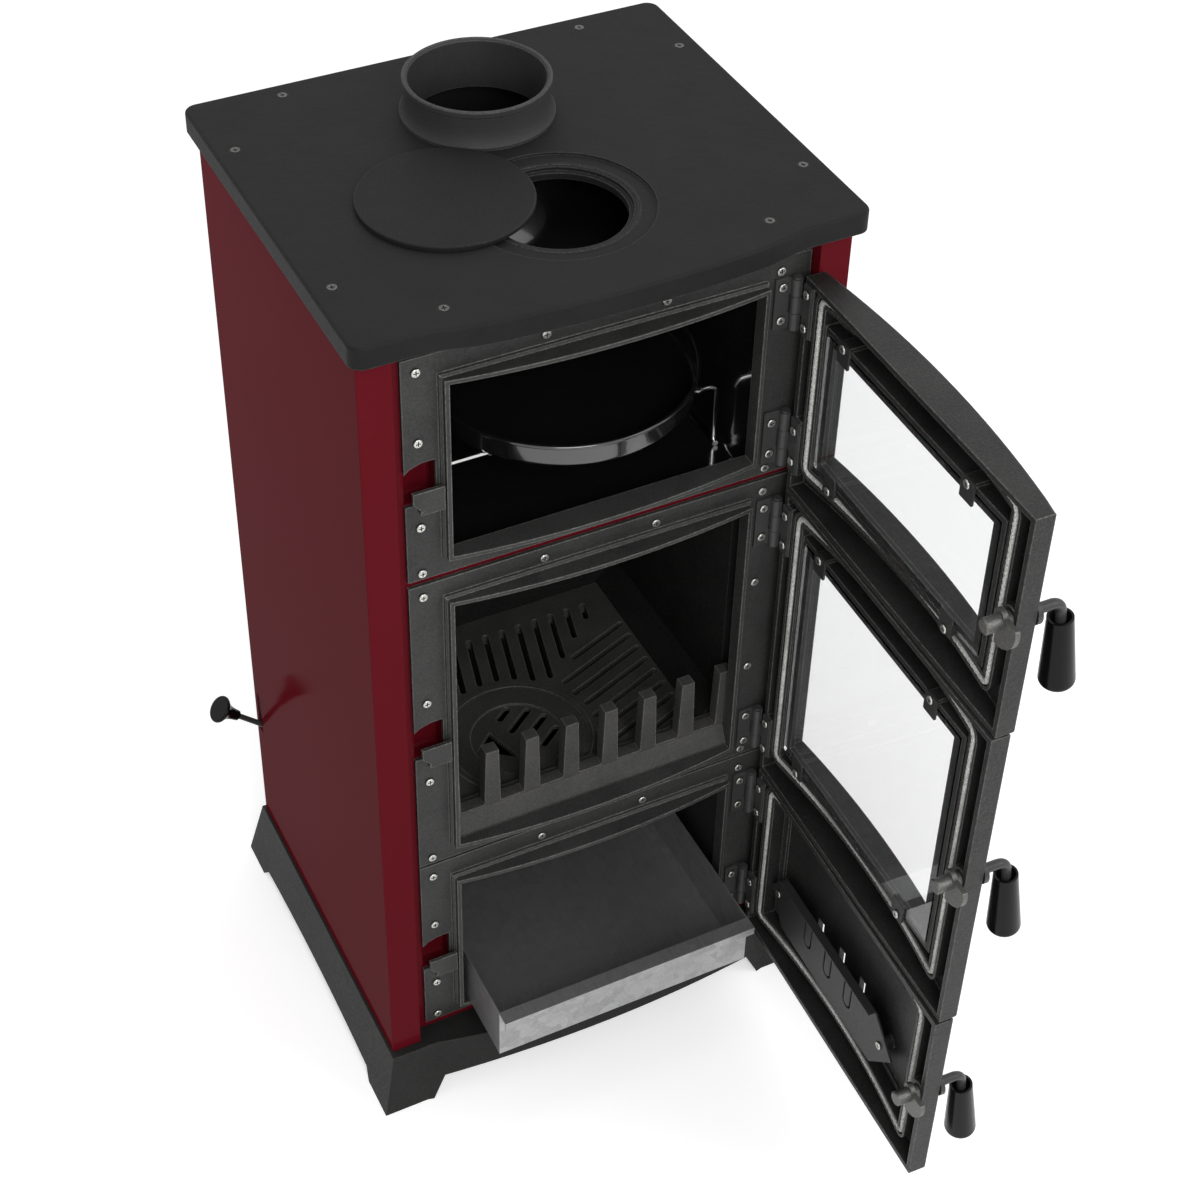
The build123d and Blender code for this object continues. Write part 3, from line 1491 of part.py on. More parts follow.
save(make_top_plate(), "top_plate")
save(make_top_plate_screws(), "top_plate_screws")
save(make_flue_collar(), "flue_collar")
save(make_hob_lid(), "hob_lid")
save(make_side_panel(-1), "side_panel_left")
save(make_side_panel(1), "side_panel_right")
save(make_back_panel(), "back_panel")
save(make_front_sheet(), "front_sheet")
for kind in frames:
    save(make_frame(kind), f"{kind}_frame")
save(make_frame_screws(), "frame_screws")
save(make_frame_leaves(), "hinge_frame_leaves")
save(make_hinge_pins(), "hinge_pins")
for kind in frames:
    save(make_door(kind), f"{kind}_door")
    save(make_gasket(kind), f"{kind}_door_rope")
    save(make_door_leaves(kind), f"{kind}_door_hinge_leaves")
    save(make_door_screws(kind), f"{kind}_door_screws")
    save(make_cam(kind), f"{kind}_latch_cam")
    save(make_rosette(kind), f"{kind}_handle_rosette")
    save(make_handle_rod(kind), f"{kind}_handle_rod")
    save(make_grip(kind), f"{kind}_handle_grip")
for kind in windows_in_doors:
    save(make_glass(kind), f"{kind}_door_glass")
    save(make_clips(kind), f"{kind}_glass_clips")
save(make_air_plate(), "ash_door_air_plate")
save(make_inner_casing(), "inner_casing")
save(make_ash_box(), "ash_box")
save(make_air_lever(), "air_lever")
save(make_air_knob(), "air_lever_knob")
save(make_air_flap(), "air_flap")
save(make_lever_bracket(), "air_lever_lugs")
save(make_oven_box(), "oven_box")
save(make_oven_rack(), "oven_rack")
save(make_baking_pan(), "baking_pan")
save(make_liner_side(-1), "firebox_liner_left")
save(make_liner_side(1), "firebox_liner_right")
save(make_liner_back(), "firebox_liner_back")
save(make_grate_plate(), "grate_plate")
save(make_round_grate(), "round_grate")
save(make_log_fence(), "log_fence")
save(make_ash_tray(), "ash_tray")
save(make_plinth(), "plinth")
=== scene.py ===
import json
import math

import bpy
from mathutils import Matrix, Quaternion, Vector


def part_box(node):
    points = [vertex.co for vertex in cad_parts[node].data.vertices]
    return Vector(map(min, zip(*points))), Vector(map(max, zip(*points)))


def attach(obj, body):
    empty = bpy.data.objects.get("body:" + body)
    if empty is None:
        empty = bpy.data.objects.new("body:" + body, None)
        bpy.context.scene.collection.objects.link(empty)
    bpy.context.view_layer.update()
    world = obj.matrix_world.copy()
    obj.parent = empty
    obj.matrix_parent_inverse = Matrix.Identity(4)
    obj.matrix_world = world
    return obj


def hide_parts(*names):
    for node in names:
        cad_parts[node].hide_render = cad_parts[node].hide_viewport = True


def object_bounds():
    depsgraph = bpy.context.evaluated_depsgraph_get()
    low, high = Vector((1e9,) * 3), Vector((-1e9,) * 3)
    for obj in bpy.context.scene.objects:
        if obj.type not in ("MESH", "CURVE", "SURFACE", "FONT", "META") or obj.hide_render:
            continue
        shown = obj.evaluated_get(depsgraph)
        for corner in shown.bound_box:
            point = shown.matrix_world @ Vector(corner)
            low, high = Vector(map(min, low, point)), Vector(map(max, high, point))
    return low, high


# Wood-burning stove with an oven. Metres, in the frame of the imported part: X points
# right, Y back and Z up, with the origin on the flue's axis at the top of the hob.

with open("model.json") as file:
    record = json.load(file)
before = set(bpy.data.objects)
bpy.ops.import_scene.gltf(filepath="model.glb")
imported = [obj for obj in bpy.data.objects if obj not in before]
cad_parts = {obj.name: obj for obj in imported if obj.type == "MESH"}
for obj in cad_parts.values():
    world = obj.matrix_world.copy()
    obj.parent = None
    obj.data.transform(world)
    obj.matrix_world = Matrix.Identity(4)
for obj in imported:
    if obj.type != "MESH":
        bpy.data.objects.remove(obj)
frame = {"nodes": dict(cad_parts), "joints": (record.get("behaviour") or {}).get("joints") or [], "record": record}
cad_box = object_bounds()
nodes = frame["nodes"]
door_kinds = ("oven", "firebox", "ash")


# The photograph's view

camera_place = Vector((-0.7125, -1.6054, 1.0489))
camera_heading = 26.758
camera_down = 39.837
camera_roll = 1.082
camera_lens = 70.06
camera_sensor = 36.0
camera_shift = (0.0245, -0.10)
camera_reach = 60.0


def make_camera():
    """The camera at the photograph's viewing angle."""
    data = bpy.data.cameras.new("camera")
    data.lens = camera_lens
    data.sensor_width = camera_sensor
    data.shift_x, data.shift_y = camera_shift
    data.clip_end = camera_reach
    camera = bpy.data.objects.new("camera", data)
    heading = math.radians(camera_heading)
    down = math.radians(camera_down)
    level = math.cos(down)
    direction = Vector((math.sin(heading) * level, math.cos(heading) * level, -math.sin(down)))
    roll = Quaternion((0, 0, 1), math.radians(camera_roll))
    camera.rotation_mode = "QUATERNION"
    camera.rotation_quaternion = direction.to_track_quat("-Z", "Y") @ roll
    camera.location = camera_place
    bpy.context.scene.collection.objects.link(camera)
    bpy.context.scene.camera = camera


# Node-tree helpers

mix_sockets = {"factor": 0, "first": 6, "second": 7, "result": 2}
noise_low, noise_high = 0.3, 0.7
edge_flat, edge_turned = 0.995, 0.85
ray_samples = 4


class Surface:
    """A material under construction: its node tree, its shader and small helpers."""

    def __init__(self, name):
        self.material = bpy.data.materials.new(name)
        self.material.use_nodes = True
        self.tree = self.material.node_tree
        self.shader = self.tree.nodes["Principled BSDF"]
        coords = self.add("ShaderNodeTexCoord")
        self.place = coords.outputs["Object"]

    def add(self, kind, **values):
        """A new node with some of its properties or inputs set."""
        node = self.tree.nodes.new(kind)
        for key, value in values.items():
            if key in node.bl_rna.properties:
                setattr(node, key, value)
            else:
                node.inputs[key.replace("_", " ")].default_value = value
        return node

    def link(self, output, socket):
        """A link from an output to an input."""
        self.tree.links.new(output, socket)

    def feed(self, value, socket):
        """An input linked to an output, or set to a number or a colour."""
        if isinstance(value, bpy.types.NodeSocket):
            self.link(value, socket)
        elif isinstance(value, tuple):
            socket.default_value = (*value, 1.0)
        else:
            socket.default_value = value

    def noise(self, size, detail=3.0, roughness=0.55, stretch=None):
        """Noise with features of about one size, in metres."""
        node = self.add("ShaderNodeTexNoise", Scale=1.0 / size, Detail=detail, Roughness=roughness)
        place = self.place
        if stretch:
            mapping = self.add("ShaderNodeMapping")
            mapping.inputs["Scale"].default_value = stretch
            self.link(place, mapping.inputs["Vector"])
            place = mapping.outputs["Vector"]
        self.link(place, node.inputs["Vector"])
        return node.outputs["Fac"]

    def cells(self, size):
        """A cell pattern with cells of about one size, in metres."""
        node = self.add("ShaderNodeTexVoronoi", Scale=1.0 / size)
        self.link(self.place, node.inputs["Vector"])
        return node

    def span(self, value, low, high, out_low=0.0, out_high=1.0):
        """A value mapped from one span to another, with clamped ends."""
        node = self.add("ShaderNodeMapRange")
        node.inputs["From Min"].default_value = low
        node.inputs["From Max"].default_value = high
        node.inputs["To Min"].default_value = out_low
        node.inputs["To Max"].default_value = out_high
        self.link(value, node.inputs["Value"])
        return node.outputs["Result"]

    def spread(self, noise, out_low=0.0, out_high=1.0):
        """Noise, which mostly stays near its middle, spread over a whole span."""
        return self.span(noise, noise_low, noise_high, out_low, out_high)

    def mix(self, factor, first, second):
        """Two colours mixed by a value; each is a colour or an output."""
        node = self.add("ShaderNodeMix", data_type="RGBA")
        self.feed(factor, node.inputs[mix_sockets["factor"]])
        self.feed(first, node.inputs[mix_sockets["first"]])
        self.feed(second, node.inputs[mix_sockets["second"]])
        return node.outputs[mix_sockets["result"]]

    def maths(self, operation, first, second):
        """One sum, product or the like of two values."""
        node = self.add("ShaderNodeMath", operation=operation)
        self.feed(first, node.inputs[0])
        self.feed(second, node.inputs[1])
        return node.outputs[0]

    def weighed(self, first, second, share):
        """Two values added up, the first by its share and the second by the rest."""
        rest = self.maths("MULTIPLY", second, 1.0 - share)
        return self.maths("ADD", self.maths("MULTIPLY", first, share), rest)

    def hollows(self, reach):
        """A value that is 1 in the open and falls to 0 in corners and recesses."""
        node = self.add("ShaderNodeAmbientOcclusion", samples=ray_samples, Distance=reach)
        return node.outputs["AO"]

    def rounded(self, radius):
        """The surface's normal with its sharp edges rounded off."""
        return self.add("ShaderNodeBevel", samples=ray_samples, Radius=radius).outputs["Normal"]

    def edges(self, radius):
        """A value that is near 1 along the edges of the shape and 0 elsewhere."""
        geometry = self.add("ShaderNodeNewGeometry")
        dot = self.add("ShaderNodeVectorMath", operation="DOT_PRODUCT")
        self.link(self.rounded(radius), dot.inputs[0])
        self.link(geometry.outputs["Normal"], dot.inputs[1])
        return self.span(dot.outputs["Value"], edge_flat, edge_turned)

    def bump(self, layers, edge_radius=0.0):
        """Bumps added up from (height, depth in metres) layers, on rounded edges."""
        normal = self.rounded(edge_radius) if edge_radius else None
        for height, depth in layers:
            node = self.add("ShaderNodeBump", Strength=1.0, Distance=depth)
            self.link(height, node.inputs["Height"])
            if normal:
                self.link(normal, node.inputs["Normal"])
            normal = node.outputs["Normal"]
        self.link(normal, self.shader.inputs["Normal"])

    def set(self, **values):
        """Shader inputs set to plain values or linked to outputs."""
        for key, value in values.items():
            self.feed(value, self.shader.inputs[key.replace("_", " ")])


def linear(red, green, blue):
    """A colour given in screen values from 0 to 255, as linear light."""

    def one(v):
        v /= 255.0
        return v / 12.92 if v <= 0.04045 else ((v + 0.055) / 1.055) ** 2.4

    return one(red), one(green), one(blue)


# Materials


def enamel_red():
    """Burgundy enamel: deep colour, a thin clear gloss and a faint orange-peel surface."""
    s = Surface("enamel_red")
    tone = s.spread(s.noise(0.22, 2.0))
    deep = s.span(s.noise(0.9, 1.0, 0.4, (1.0, 1.0, 0.35)), 0.35, 0.65)
    body = s.mix(tone, linear(106, 18, 33), linear(118, 23, 40))
    s.set(Base_Color=s.mix(deep, body, linear(96, 17, 27)))
    s.set(Roughness=s.spread(s.noise(0.03), 0.24, 0.32))
    s.set(Specular_IOR_Level=0.0, Coat_Weight=0.065, Coat_Roughness=0.12)
    s.bump([(s.noise(0.006, 2.0), 0.00004), (s.noise(0.25, 1.0), 0.0006)], 0.0006)
    return s.material


def casting(name, dark, light, edge_wear_and_highlight, rough, gloss, grain, depth):
    """Coated cast iron: speckled grain, soft unevenness and lighter edges, part wear and part painted highlight.
    """
    s = Surface(name)
    speck = s.span(s.noise(grain, 4.0, 0.65), 0.38, 0.66)
    cloud = s.spread(s.noise(0.05))
    base = s.mix(s.weighed(speck, cloud, 0.55), dark, light)
    # Lighter broken lines along the edges: partly wear, partly a painted highlight where the edges catch the
    # light.
    broken = s.span(s.noise(0.0026, 5.0, 0.75), 0.38, 0.6, 0.12, 1.0)
    wear_and_edge_highlight = s.maths("MULTIPLY", s.edges(0.0018), broken)
    s.set(Base_Color=s.mix(wear_and_edge_highlight, base, edge_wear_and_highlight), Specular_IOR_Level=gloss)
    s.set(Roughness=s.span(speck, 0.0, 1.0, rough + 0.07, rough - 0.07))
    pits = s.noise(grain * 1.7, 5.0, 0.7)
    waves = s.noise(0.02, 2.0)
    s.bump([(pits, depth), (waves, 0.0005)], 0.0011)
    return s.material


def casting_hob():
    """The hob plate and its lid: smooth, nearly black and dull."""
    return casting(
        "casting_hob",
        dark=linear(25, 25, 25),
        light=linear(33, 33, 33),
        edge_wear_and_highlight=linear(84, 84, 83),
        rough=0.6,
        gloss=0.13,
        grain=0.0012,
        depth=0.0002,
    )


def casting_collar():
    """The flue collar, paler than the hob."""
    return casting(
        "casting_collar",
        dark=linear(44, 44, 44),
        light=linear(57, 57, 57),
        edge_wear_and_highlight=linear(112, 112, 110),
        rough=0.55,
        gloss=0.22,
        grain=0.0012,
        depth=0.0002,
    )


def casting_grey():
    """The door frames: coarse grey casting with bright broken edges, part wear and part painted highlight."""
    return casting(
        "casting_grey",
        dark=linear(37, 38, 37),
        light=linear(62, 63, 61),
        edge_wear_and_highlight=linear(150, 150, 146),
        rough=0.46,
        gloss=0.28,
        grain=0.0019,
        depth=0.0005,
    )


def casting_door_shaded():
    """The doors: the frames' casting made darker, as painted shade."""
    return casting(
        "casting_door_shaded",
        dark=linear(26, 26, 26),
        light=linear(50, 50, 49),
        edge_wear_and_highlight=linear(132, 132, 128),
        rough=0.44,
        gloss=0.24,
        grain=0.0021,
        depth=0.0006,
    )


def casting_plinth():
    """The plinth, with softer edges than the frames."""
    return casting(
        "casting_plinth",
        dark=linear(28, 28, 28),
        light=linear(42, 42, 41),
        edge_wear_and_highlight=linear(74, 74, 72),
        rough=0.55,
        gloss=0.16,
        grain=0.0017,
        depth=0.0004,
    )


def casting_grate():
    """The grate, its round insert and the fence: bare warm grey iron."""
    return casting(
        "casting_grate",
        dark=linear(48, 48, 47),
        light=linear(74, 73, 71),
        edge_wear_and_highlight=linear(132, 130, 126),
        rough=0.52,
        gloss=0.3,
        grain=0.002,
        depth=0.0005,
    )


def casting_lining_shaded():
    """The firebox's lining plates: the grate's iron made darker and duller, as painted shade inside the firebox.
    """
    return casting(
        "casting_lining_shaded",
        dark=linear(20, 20, 20),
        light=linear(36, 36, 35),
        edge_wear_and_highlight=linear(60, 60, 58),
        rough=0.66,
        gloss=0.14,
        grain=0.0024,
        depth=0.0006,
    )


def metal(name, colour, rough, grain, depth, shade):
    """Bare metal with an even grain."""
    s = Surface(name)
    value = s.spread(s.noise(grain, 3.0, 0.6))
    darker = tuple(c * shade for c in colour)
    s.set(Base_Color=s.mix(value, darker, colour), Metallic=1.0)
    s.set(Roughness=s.span(value, 0.0, 1.0, rough + 0.06, rough - 0.04))
    s.bump([(s.noise(grain, 3.0, 0.6), depth)], 0.0004)
    return s.material


def bright_wire():
    """The oven rack's polished wire."""
    return metal("bright_wire", linear(225, 225, 225), rough=0.12, grain=0.004, depth=0.00001, shade=0.85)


def latch_metal():
    """The latches' mottled bare castings."""
    return metal("latch_metal", linear(120, 120, 117), rough=0.5, grain=0.0014, depth=0.00015, shade=0.55)


def zinc(name, dark, light):
    """Plated screw heads, with painted shade darkening their recesses."""
    s = Surface(name)
    value = s.spread(s.noise(0.0012))
    plate = s.mix(value, dark, light)
    # Ambient occlusion blends the plate into near black in the cross recess: painted shade.
    recess_shade_mask = s.span(s.hollows(0.0034), 0.68, 0.97)
    s.set(Base_Color=s.mix(recess_shade_mask, linear(12, 12, 12), plate), Metallic=0.85)
    s.set(Roughness=s.span(value, 0.0, 1.0, 0.36, 0.24))
    s.bump([(s.noise(0.0012), 0.00003)], 0.0004)
    return s.material


def galvanized():
    """Galvanized sheet: pale crystals over a soft rolled grain."""
    s = Surface("galvanized")
    crystal = s.cells(0.011)
    shade = s.add("ShaderNodeSeparateColor")
    s.link(crystal.outputs["Color"], shade.inputs[0])
    roll = s.noise(0.003, 3.0, 0.6, (1.0, 0.08, 1.0))
    tone = s.weighed(shade.outputs[0], roll, 0.35)
    s.set(Base_Color=s.mix(tone, linear(136, 136, 137), linear(184, 184, 185)), Metallic=0.8)
    s.set(Roughness=s.span(tone, 0.2, 0.8, 0.46, 0.32))
    s.bump([(roll, 0.00003)], 0.0006)
    return s.material


def painted_steel(name, colour, rough):
    """Thin satin paint on pressed steel."""
    s = Surface(name)
    darker = tuple(c * 0.85 for c in colour)
    s.set(Base_Color=s.mix(s.spread(s.noise(0.03)), darker, colour), Specular_IOR_Level=0.3)
    s.set(Roughness=s.spread(s.noise(0.002), rough - 0.05, rough + 0.07))
    s.bump([(s.noise(0.0012, 3.0, 0.6), 0.00006)], 0.0008)
    return s.material


def enamel_black():
    """Glossy black vitreous enamel with fine pale flecks."""
    s = Surface("enamel_black")
    fleck = s.span(s.cells(0.0022).outputs["Distance"], 0.0, 0.16, 1.0, 0.0)
    chance = s.span(s.noise(0.006, 2.0), 0.56, 0.62, 0.0, 0.6)
    flecks = s.maths("MULTIPLY", fleck, chance)
    s.set(Base_Color=s.mix(flecks, linear(20, 20, 21), linear(120, 120, 120)))
    s.set(Roughness=s.spread(s.noise(0.02), 0.13, 0.2))
    s.set(Coat_Weight=1.0, Coat_Roughness=0.05, Specular_IOR_Level=0.6)
    s.bump([(s.noise(0.008, 2.0), 0.00005)], 0.0006)
    return s.material


def grip_black():
    """Moulded black plastic with a soft shine."""
    s = Surface("grip_black")
    fine = s.noise(0.0012, 3.0, 0.6)
    s.set(Base_Color=s.mix(s.spread(fine), linear(9, 9, 9), linear(16, 16, 16)))
    s.set(Roughness=s.spread(s.noise(0.012), 0.2, 0.27), Specular_IOR_Level=0.13)
    s.bump([(fine, 0.00002)], 0.0008)
    return s.material


def rope_grey():
    """Braided glass yarn, pale, with painted shade darkening the braid's hollows."""
    s = Surface("rope_grey")
    fibre = s.noise(0.0009, 3.0, 0.7)
    yarn = s.mix(s.span(fibre, 0.36, 0.62), linear(112, 112, 110), linear(242, 242, 238))
    # Ambient occlusion blends the yarn into dark grey in the braid's hollows: painted shade.
    crown = s.span(s.hollows(0.0016), 0.45, 0.85)
    braid = s.mix(crown, linear(46, 46, 45), yarn)
    soot = s.span(s.noise(0.06), 0.45, 0.65, 0.0, 0.4)
    s.set(Base_Color=s.mix(soot, braid, linear(72, 72, 70)))
    s.set(Roughness=s.span(fibre, 0.0, 1.0, 0.7, 0.9))
    s.bump([(fibre, 0.0002)])
    return s.material


def pane_glass():
    """Clear heat-proof glass that lets light through to the shadows."""
    s = Surface("pane_glass")
    s.set(Base_Color=(0.915, 0.925, 0.925), Transmission_Weight=1.0, IOR=1.47)
    s.set(Roughness=s.spread(s.noise(0.05, 2.0), 0.0, 0.012))
    clear = s.add("ShaderNodeBsdfTransparent")
    s.feed((0.9, 0.93, 0.92), clear.inputs["Color"])
    path = s.add("ShaderNodeLightPath")
    mixed = s.add("ShaderNodeMixShader")
    s.link(path.outputs["Is Shadow Ray"], mixed.inputs[0])
    s.link(s.shader.outputs[0], mixed.inputs[1])
    s.link(clear.outputs[0], mixed.inputs[2])
    s.link(mixed.outputs[0], s.tree.nodes["Material Output"].inputs["Surface"])
    return s.material


slot_materials = {
    "red_enamel": enamel_red(),
    "hob_casting": casting_hob(),
    "grey_casting": casting_grey(),
    "grate_casting": casting_grate(),
    "zinc_screw": zinc("zinc", linear(165, 165, 161), linear(224, 223, 218)),
    "hinge_steel": painted_steel("hinge_grey", linear(60, 61, 60), 0.4),
    "rope": rope_grey(),
    "clip_steel": painted_steel("clip_grey", linear(48, 49, 48), 0.45),
    "pane": pane_glass(),
    "latch_casting": latch_metal(),
    "handle_steel": painted_steel("handle_grey", linear(62, 62, 62), 0.3),
    "black_plastic": grip_black(),
    "casing_steel": painted_steel("casing_black", linear(26, 26, 26), 0.6),
    "galvanized": galvanized(),
    "black_enamel": enamel_black(),
    "wire_steel": bright_wire(),
}
# The doors are the frames' iron; their darker copy is painted shade.
shaded_door_casting = casting_door_shaded()
# The lining plates get a darker copy of the grate's iron: painted shade of the firebox.
lining = casting_lining_shaded()
node_materials = {
    "plinth": casting_plinth(),
    "flue_collar": casting_collar(),
    "top_plate_screws": zinc("zinc_dull", linear(58, 58, 57), linear(120, 120, 117)),
}
node_materials |= {f"{kind}_door": shaded_door_casting for kind in door_kinds}
node_materials |= {f"firebox_liner_{side}": lining for side in ("left", "right", "back")}


def dress_nodes():
    """Give each node of the part its own material, or else that of its slot."""
    for part in frame["record"]["subparts"]:
        usual = slot_materials[part["material_slot"]]
        materials = nodes[part["node"]].data.materials
        materials.clear()
        materials.append(node_materials.get(part["node"], usual))


def add_piece(name, points, faces, slot, body, replaced):
    """A smooth mesh that rides on a body and stands for one node of the part."""
    mesh = bpy.data.meshes.new(name)
    mesh.from_pydata(points, [], faces)
    mesh.validate()
    for polygon in mesh.polygons:
        polygon.use_smooth = True
    mesh.materials.append(slot_materials[slot])
    piece = bpy.data.objects.new(name, mesh)
    bpy.context.scene.collection.objects.link(piece)
    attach(piece, body)
    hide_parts(replaced)


# Rope gaskets

rope_radius = 0.004
rope_half_width = 0.0031
rope_half_depth = 0.0038
rope_corner = 0.008
rope_step = 0.001
rope_sides = 14
rope_corner_steps = max(4, round(rope_corner * math.pi / 2 / rope_step))
braid_pitch = 0.0062
braid_starts = 3
braid_depth = 0.2


def door_axes(kind):
    """The turn from a door's own axes, along it, out of it and up, to the stove's."""
    joint = next(j for j in frame["joints"] if j["name"] == f"{kind}_door_swing")
    pin = Vector(joint["pos_m"])
    open_turn = math.radians(180.0 - joint["range_deg"][0])
    return Matrix.Translation((pin.x, pin.y, 0.0)) @ Matrix.Rotation(open_turn, 4, "Z")


def rounded_line(width, height):
    """Points and headings along a rope's round-cornered line about the origin, evenly spaced."""
    half_w, half_h = width / 2 - rope_corner, height / 2 - rope_corner
    quarter_turn = math.pi / 2
    corners = ((half_w, half_h), (-half_w, half_h), (-half_w, -half_h), (half_w, -half_h))
    spots = []
    for quarter, (x, y) in enumerate(corners):
        for i in range(rope_corner_steps):
            turn = (quarter + i / rope_corner_steps) * quarter_turn
            spot = (x + rope_corner * math.cos(turn), y + rope_corner * math.sin(turn))
            spots.append((spot, turn + quarter_turn))
        turn = (quarter + 1) * quarter_turn
        heading = turn + quarter_turn
        start = (x + rope_corner * math.cos(turn), y + rope_corner * math.sin(turn))
        run = 2 * half_h if quarter % 2 else 2 * half_w
        count = round(run / rope_step)
        for i in range(count):
            along = run * i / count
            spot = (start[0] + math.cos(heading) * along, start[1] + math.sin(heading) * along)
            spots.append((spot, heading))
    return spots


def braid_reach(turn, travelled):
    """How far the braided surface stands out at a turn round the rope, as a share of its size."""
    phase = 2 * math.pi * travelled / braid_pitch
    lay = math.cos(braid_starts * turn + phase)
    cross = math.cos(braid_starts * turn - phase)
    ridge = 0.5 + 0.5 * max(lay, cross)
    return 1.0 - braid_depth * (1.0 - ridge)


def make_rope(kind):
    """One braided rope gasket, bowed like the rim that it seals against."""
    axes = door_axes(kind)
    back = axes.inverted()
    solid = [back @ v.co for v in nodes[f"{kind}_door_rope"].data.vertices]
    low = Vector(min(p[i] for p in solid) for i in range(3))
    high = Vector(max(p[i] for p in solid) for i in range(3))
    middle = (low + high) / 2
    width = high.x - low.x - 2 * rope_radius
    height = high.z - low.z - 2 * rope_radius
    bow = high.y - low.y - 2 * rope_radius
    half_span = width / 2 + rope_radius
    bow_radius = (half_span**2 + bow**2) / (2 * bow)
    line = rounded_line(width, height)
    points = []
    travelled = 0.0
    for i, ((u, z), heading) in enumerate(line):
        if i:
            travelled += math.dist(line[i - 1][0], (u, z))
        crown = low.y + rope_radius + bow - bow_radius + math.sqrt(bow_radius**2 - u**2)
        across = Vector((math.sin(heading), 0.0, -math.cos(heading)))
        for side in range(rope_sides):
            turn = side * 2 * math.pi / rope_sides
            reach = braid_reach(turn, travelled)
            spot = Vector((middle.x + u, crown, middle.z + z))
            spot += across * (math.cos(turn) * reach * rope_half_width)
            spot.y += math.sin(turn) * reach * rope_half_depth
            points.append(axes @ spot)
    rings = len(line)
    faces = []
    for i in range(rings):
        here, there = i * rope_sides, (i + 1) % rings * rope_sides
        for side in range(rope_sides):
            after = (side + 1) % rope_sides
            faces.append((here + side, here + after, there + after, there + side))
    add_piece(f"{kind}_rope_braid", points, faces, "rope", f"{kind}_door_leaf", f"{kind}_door_rope")


# Baking pan

pan_corner = 0.005
pan_sheet = 0.001
pan_bead = 0.002
pan_bead_foot = 120
pan_edge = 0.0004
pan_ring = 0.012
pan_raise = pan_sheet / 2
pan_turns = 180
pan_corner_steps = 8
pan_bead_steps = 20


def arc_points(centre, radius, start, stop, count):
    """Points on an arc of a profile, from one angle in degrees to another."""
    points = []
    for i in range(count + 1):
        turn = math.radians(start + (stop - start) * i / count)
        points.append((centre[0] + radius * math.cos(turn), centre[1] + radius * math.sin(turn)))
    return points


def pan_profile(radius, height):
    """The pan's section from under its raised bottom, out over the bead and back inside."""
    bead = (radius - pan_bead, height - pan_bead)
    outside = bead[0] + pan_bead * math.cos(math.radians(pan_bead_foot))
    inside = outside - pan_sheet
    corner = pan_corner - pan_sheet
    profile = [(outside - pan_corner - pan_ring, pan_raise)]
    profile += arc_points((outside - pan_corner, pan_corner), pan_corner, -90, 0, pan_corner_steps)
    profile += [(outside, pan_corner + pan_edge)]
    profile += [(outside, bead[1] - pan_bead - pan_edge)]
    profile += arc_points(bead, pan_bead, -pan_bead_foot, 180, pan_bead_steps)
    profile += arc_points((inside - corner, pan_corner), corner, 0, -90, pan_corner_steps)
    profile += [(inside - pan_corner - pan_ring, pan_raise + pan_sheet)]
    return profile


def make_pan():
    """The enamelled pan, turned from its profile: an upright wall under a rolled bead."""
    low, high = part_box("baking_pan")
    profile = pan_profile((high.x - low.x) / 2, high.z - low.z)
    middle = Vector(((low.x + high.x) / 2, (low.y + high.y) / 2, low.z))
    points = []
    for i in range(pan_turns):
        turn = 2 * math.pi * i / pan_turns
        points += [middle + Vector((r * math.cos(turn), r * math.sin(turn), z)) for r, z in profile]
    underside = len(points)
    floor = underside + 1
    points += [middle + Vector((0, 0, pan_raise)), middle + Vector((0, 0, pan_raise + pan_sheet))]
    rows = len(profile)
    last = rows - 1
    faces = []
    for i in range(pan_turns):
        here, there = i * rows, (i + 1) % pan_turns * rows
        for k in range(last):
            faces.append((here + k, there + k, there + k + 1, here + k + 1))
        faces.append((underside, there, here))
        faces.append((floor, here + last, there + last))
    add_piece("baking_pan_turned", points, faces, "black_enamel", "pan", "baking_pan")


# Floor and light

floor_reach = 14.0
floor_grey = 0.86
floor_roughness = 0.75
floor_glow = 0.48
world_fill = 0.5
lamp_target = Vector((0.05, -0.2, -0.5))
lamps = {
    "lamp_camera": {"place": (-0.5, -2.5, 1.3), "size": (1.3, 1.3), "power": 34.0},
    "lamp_right": {"place": (1.9, -2.0, 1.2), "size": (1.4, 1.8), "power": 20.0},
    "lamp_top": {"place": (0.2, 0.4, 2.2), "size": (1.8, 1.8), "power": 14.0},
}


def seen_directly(tree):
    """A value that is 1 for camera, glossy and transmission rays and 0 for others."""
    path = tree.nodes.new("ShaderNodeLightPath")
    value = path.outputs["Is Camera Ray"]
    for name in ("Is Glossy Ray", "Is Transmission Ray"):
        both = tree.nodes.new("ShaderNodeMath")
        both.operation = "MAXIMUM"
        tree.links.new(value, both.inputs[0])
        tree.links.new(path.outputs[name], both.inputs[1])
        value = both.outputs[0]
    return value


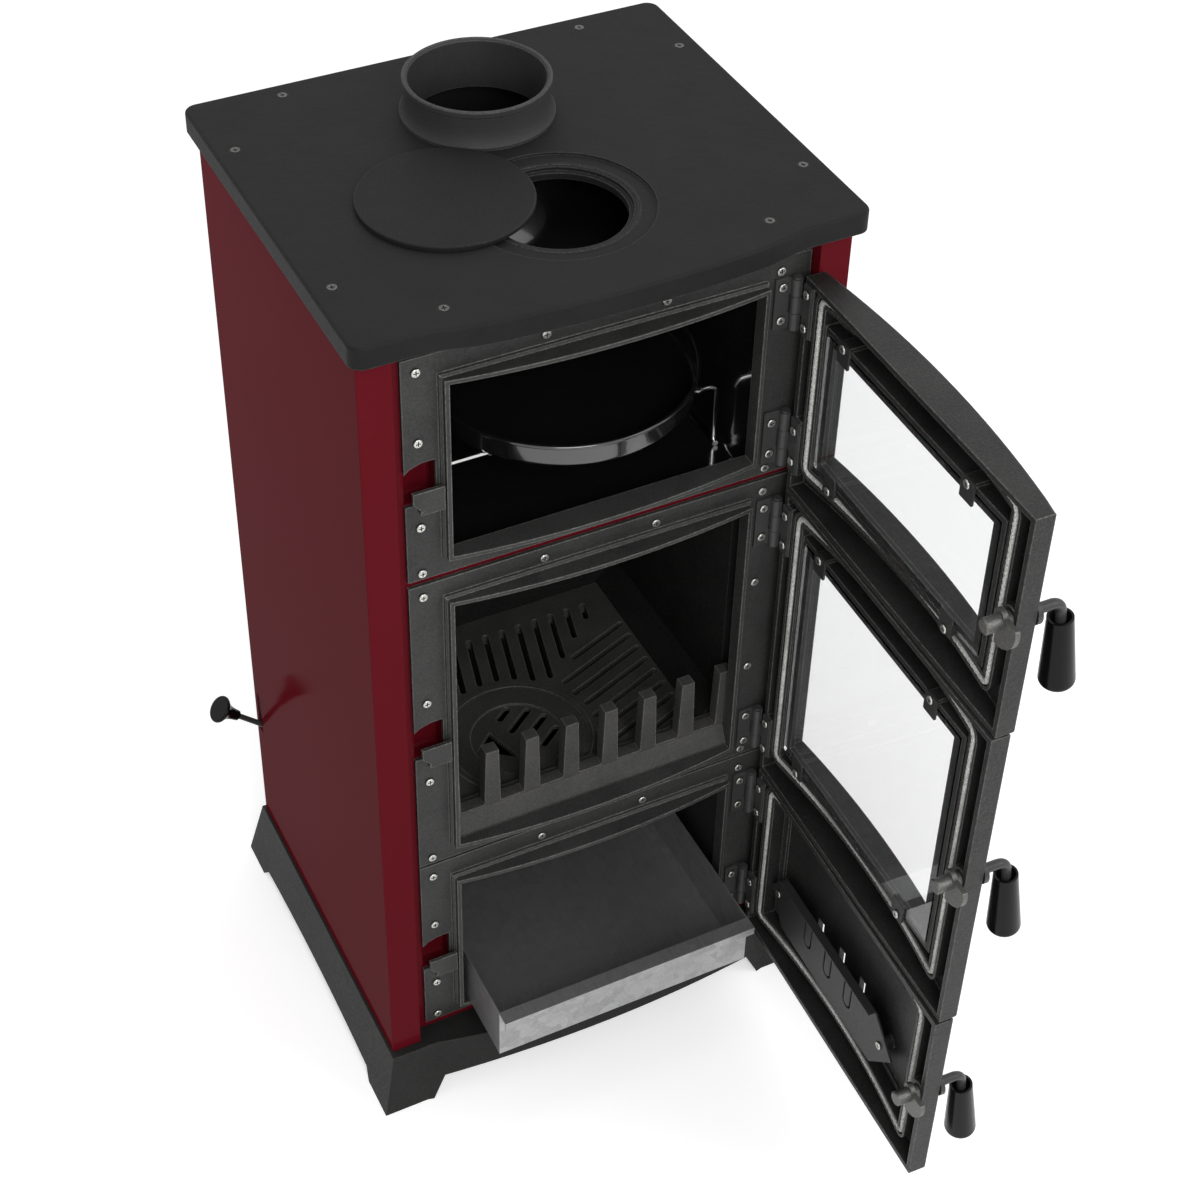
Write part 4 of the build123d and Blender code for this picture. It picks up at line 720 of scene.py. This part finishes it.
def floor_white():
    """Pale matt floor that looks white where it is seen and keeps its shadows."""
    s = Surface("floor_white")
    s.set(Base_Color=(floor_grey,) * 3, Roughness=floor_roughness, Specular_IOR_Level=0.0)
    glow = s.add("ShaderNodeEmission")
    s.link(s.span(seen_directly(s.tree), 0.0, 1.0, 0.0, floor_glow), glow.inputs["Strength"])
    both = s.add("ShaderNodeAddShader")
    s.link(s.shader.outputs[0], both.inputs[0])
    s.link(glow.outputs[0], both.inputs[1])
    s.link(both.outputs[0], s.tree.nodes["Material Output"].inputs["Surface"])
    return s.material


def make_stage():
    """The pale floor that the stove stands on."""
    r = floor_reach
    mesh = bpy.data.meshes.new("floor")
    mesh.from_pydata([(-r, -r, 0), (r, -r, 0), (r, r, 0), (-r, r, 0)], [], [(0, 1, 2, 3)])
    mesh.materials.append(floor_white())
    floor = bpy.data.objects.new("floor", mesh)
    floor.location = (0, 0, cad_box[0].z)
    bpy.context.scene.collection.objects.link(floor)


def make_world():
    """White surroundings where they are seen, and a dimmer white that lights the object."""
    world = bpy.data.worlds.new("studio")
    bpy.context.scene.world = world
    world.use_nodes = True
    tree = world.node_tree
    background = tree.nodes["Background"]
    background.inputs["Color"].default_value = (1.0, 1.0, 1.0, 1.0)
    level = tree.nodes.new("ShaderNodeMapRange")
    level.inputs["To Min"].default_value = world_fill
    level.inputs["To Max"].default_value = 1.0
    tree.links.new(seen_directly(tree), level.inputs["Value"])
    tree.links.new(level.outputs[0], background.inputs["Strength"])


def make_lamps():
    """Soft rectangular studio lamps: by the camera, on the right and above."""
    for name, lamp in lamps.items():
        data = bpy.data.lights.new(name, "AREA")
        data.shape = "RECTANGLE"
        data.size, data.size_y = lamp["size"]
        data.energy = lamp["power"]
        light = bpy.data.objects.new(name, data)
        light.location = lamp["place"]
        light.rotation_mode = "QUATERNION"
        direction = lamp_target - Vector(lamp["place"])
        light.rotation_quaternion = direction.to_track_quat("-Z", "Y")
        bpy.context.scene.collection.objects.link(light)


bpy.context.scene.view_settings.view_transform = "Standard"
dress_nodes()
for kind in door_kinds:
    make_rope(kind)
make_pan()
make_camera()
make_stage()
make_world()
make_lamps()
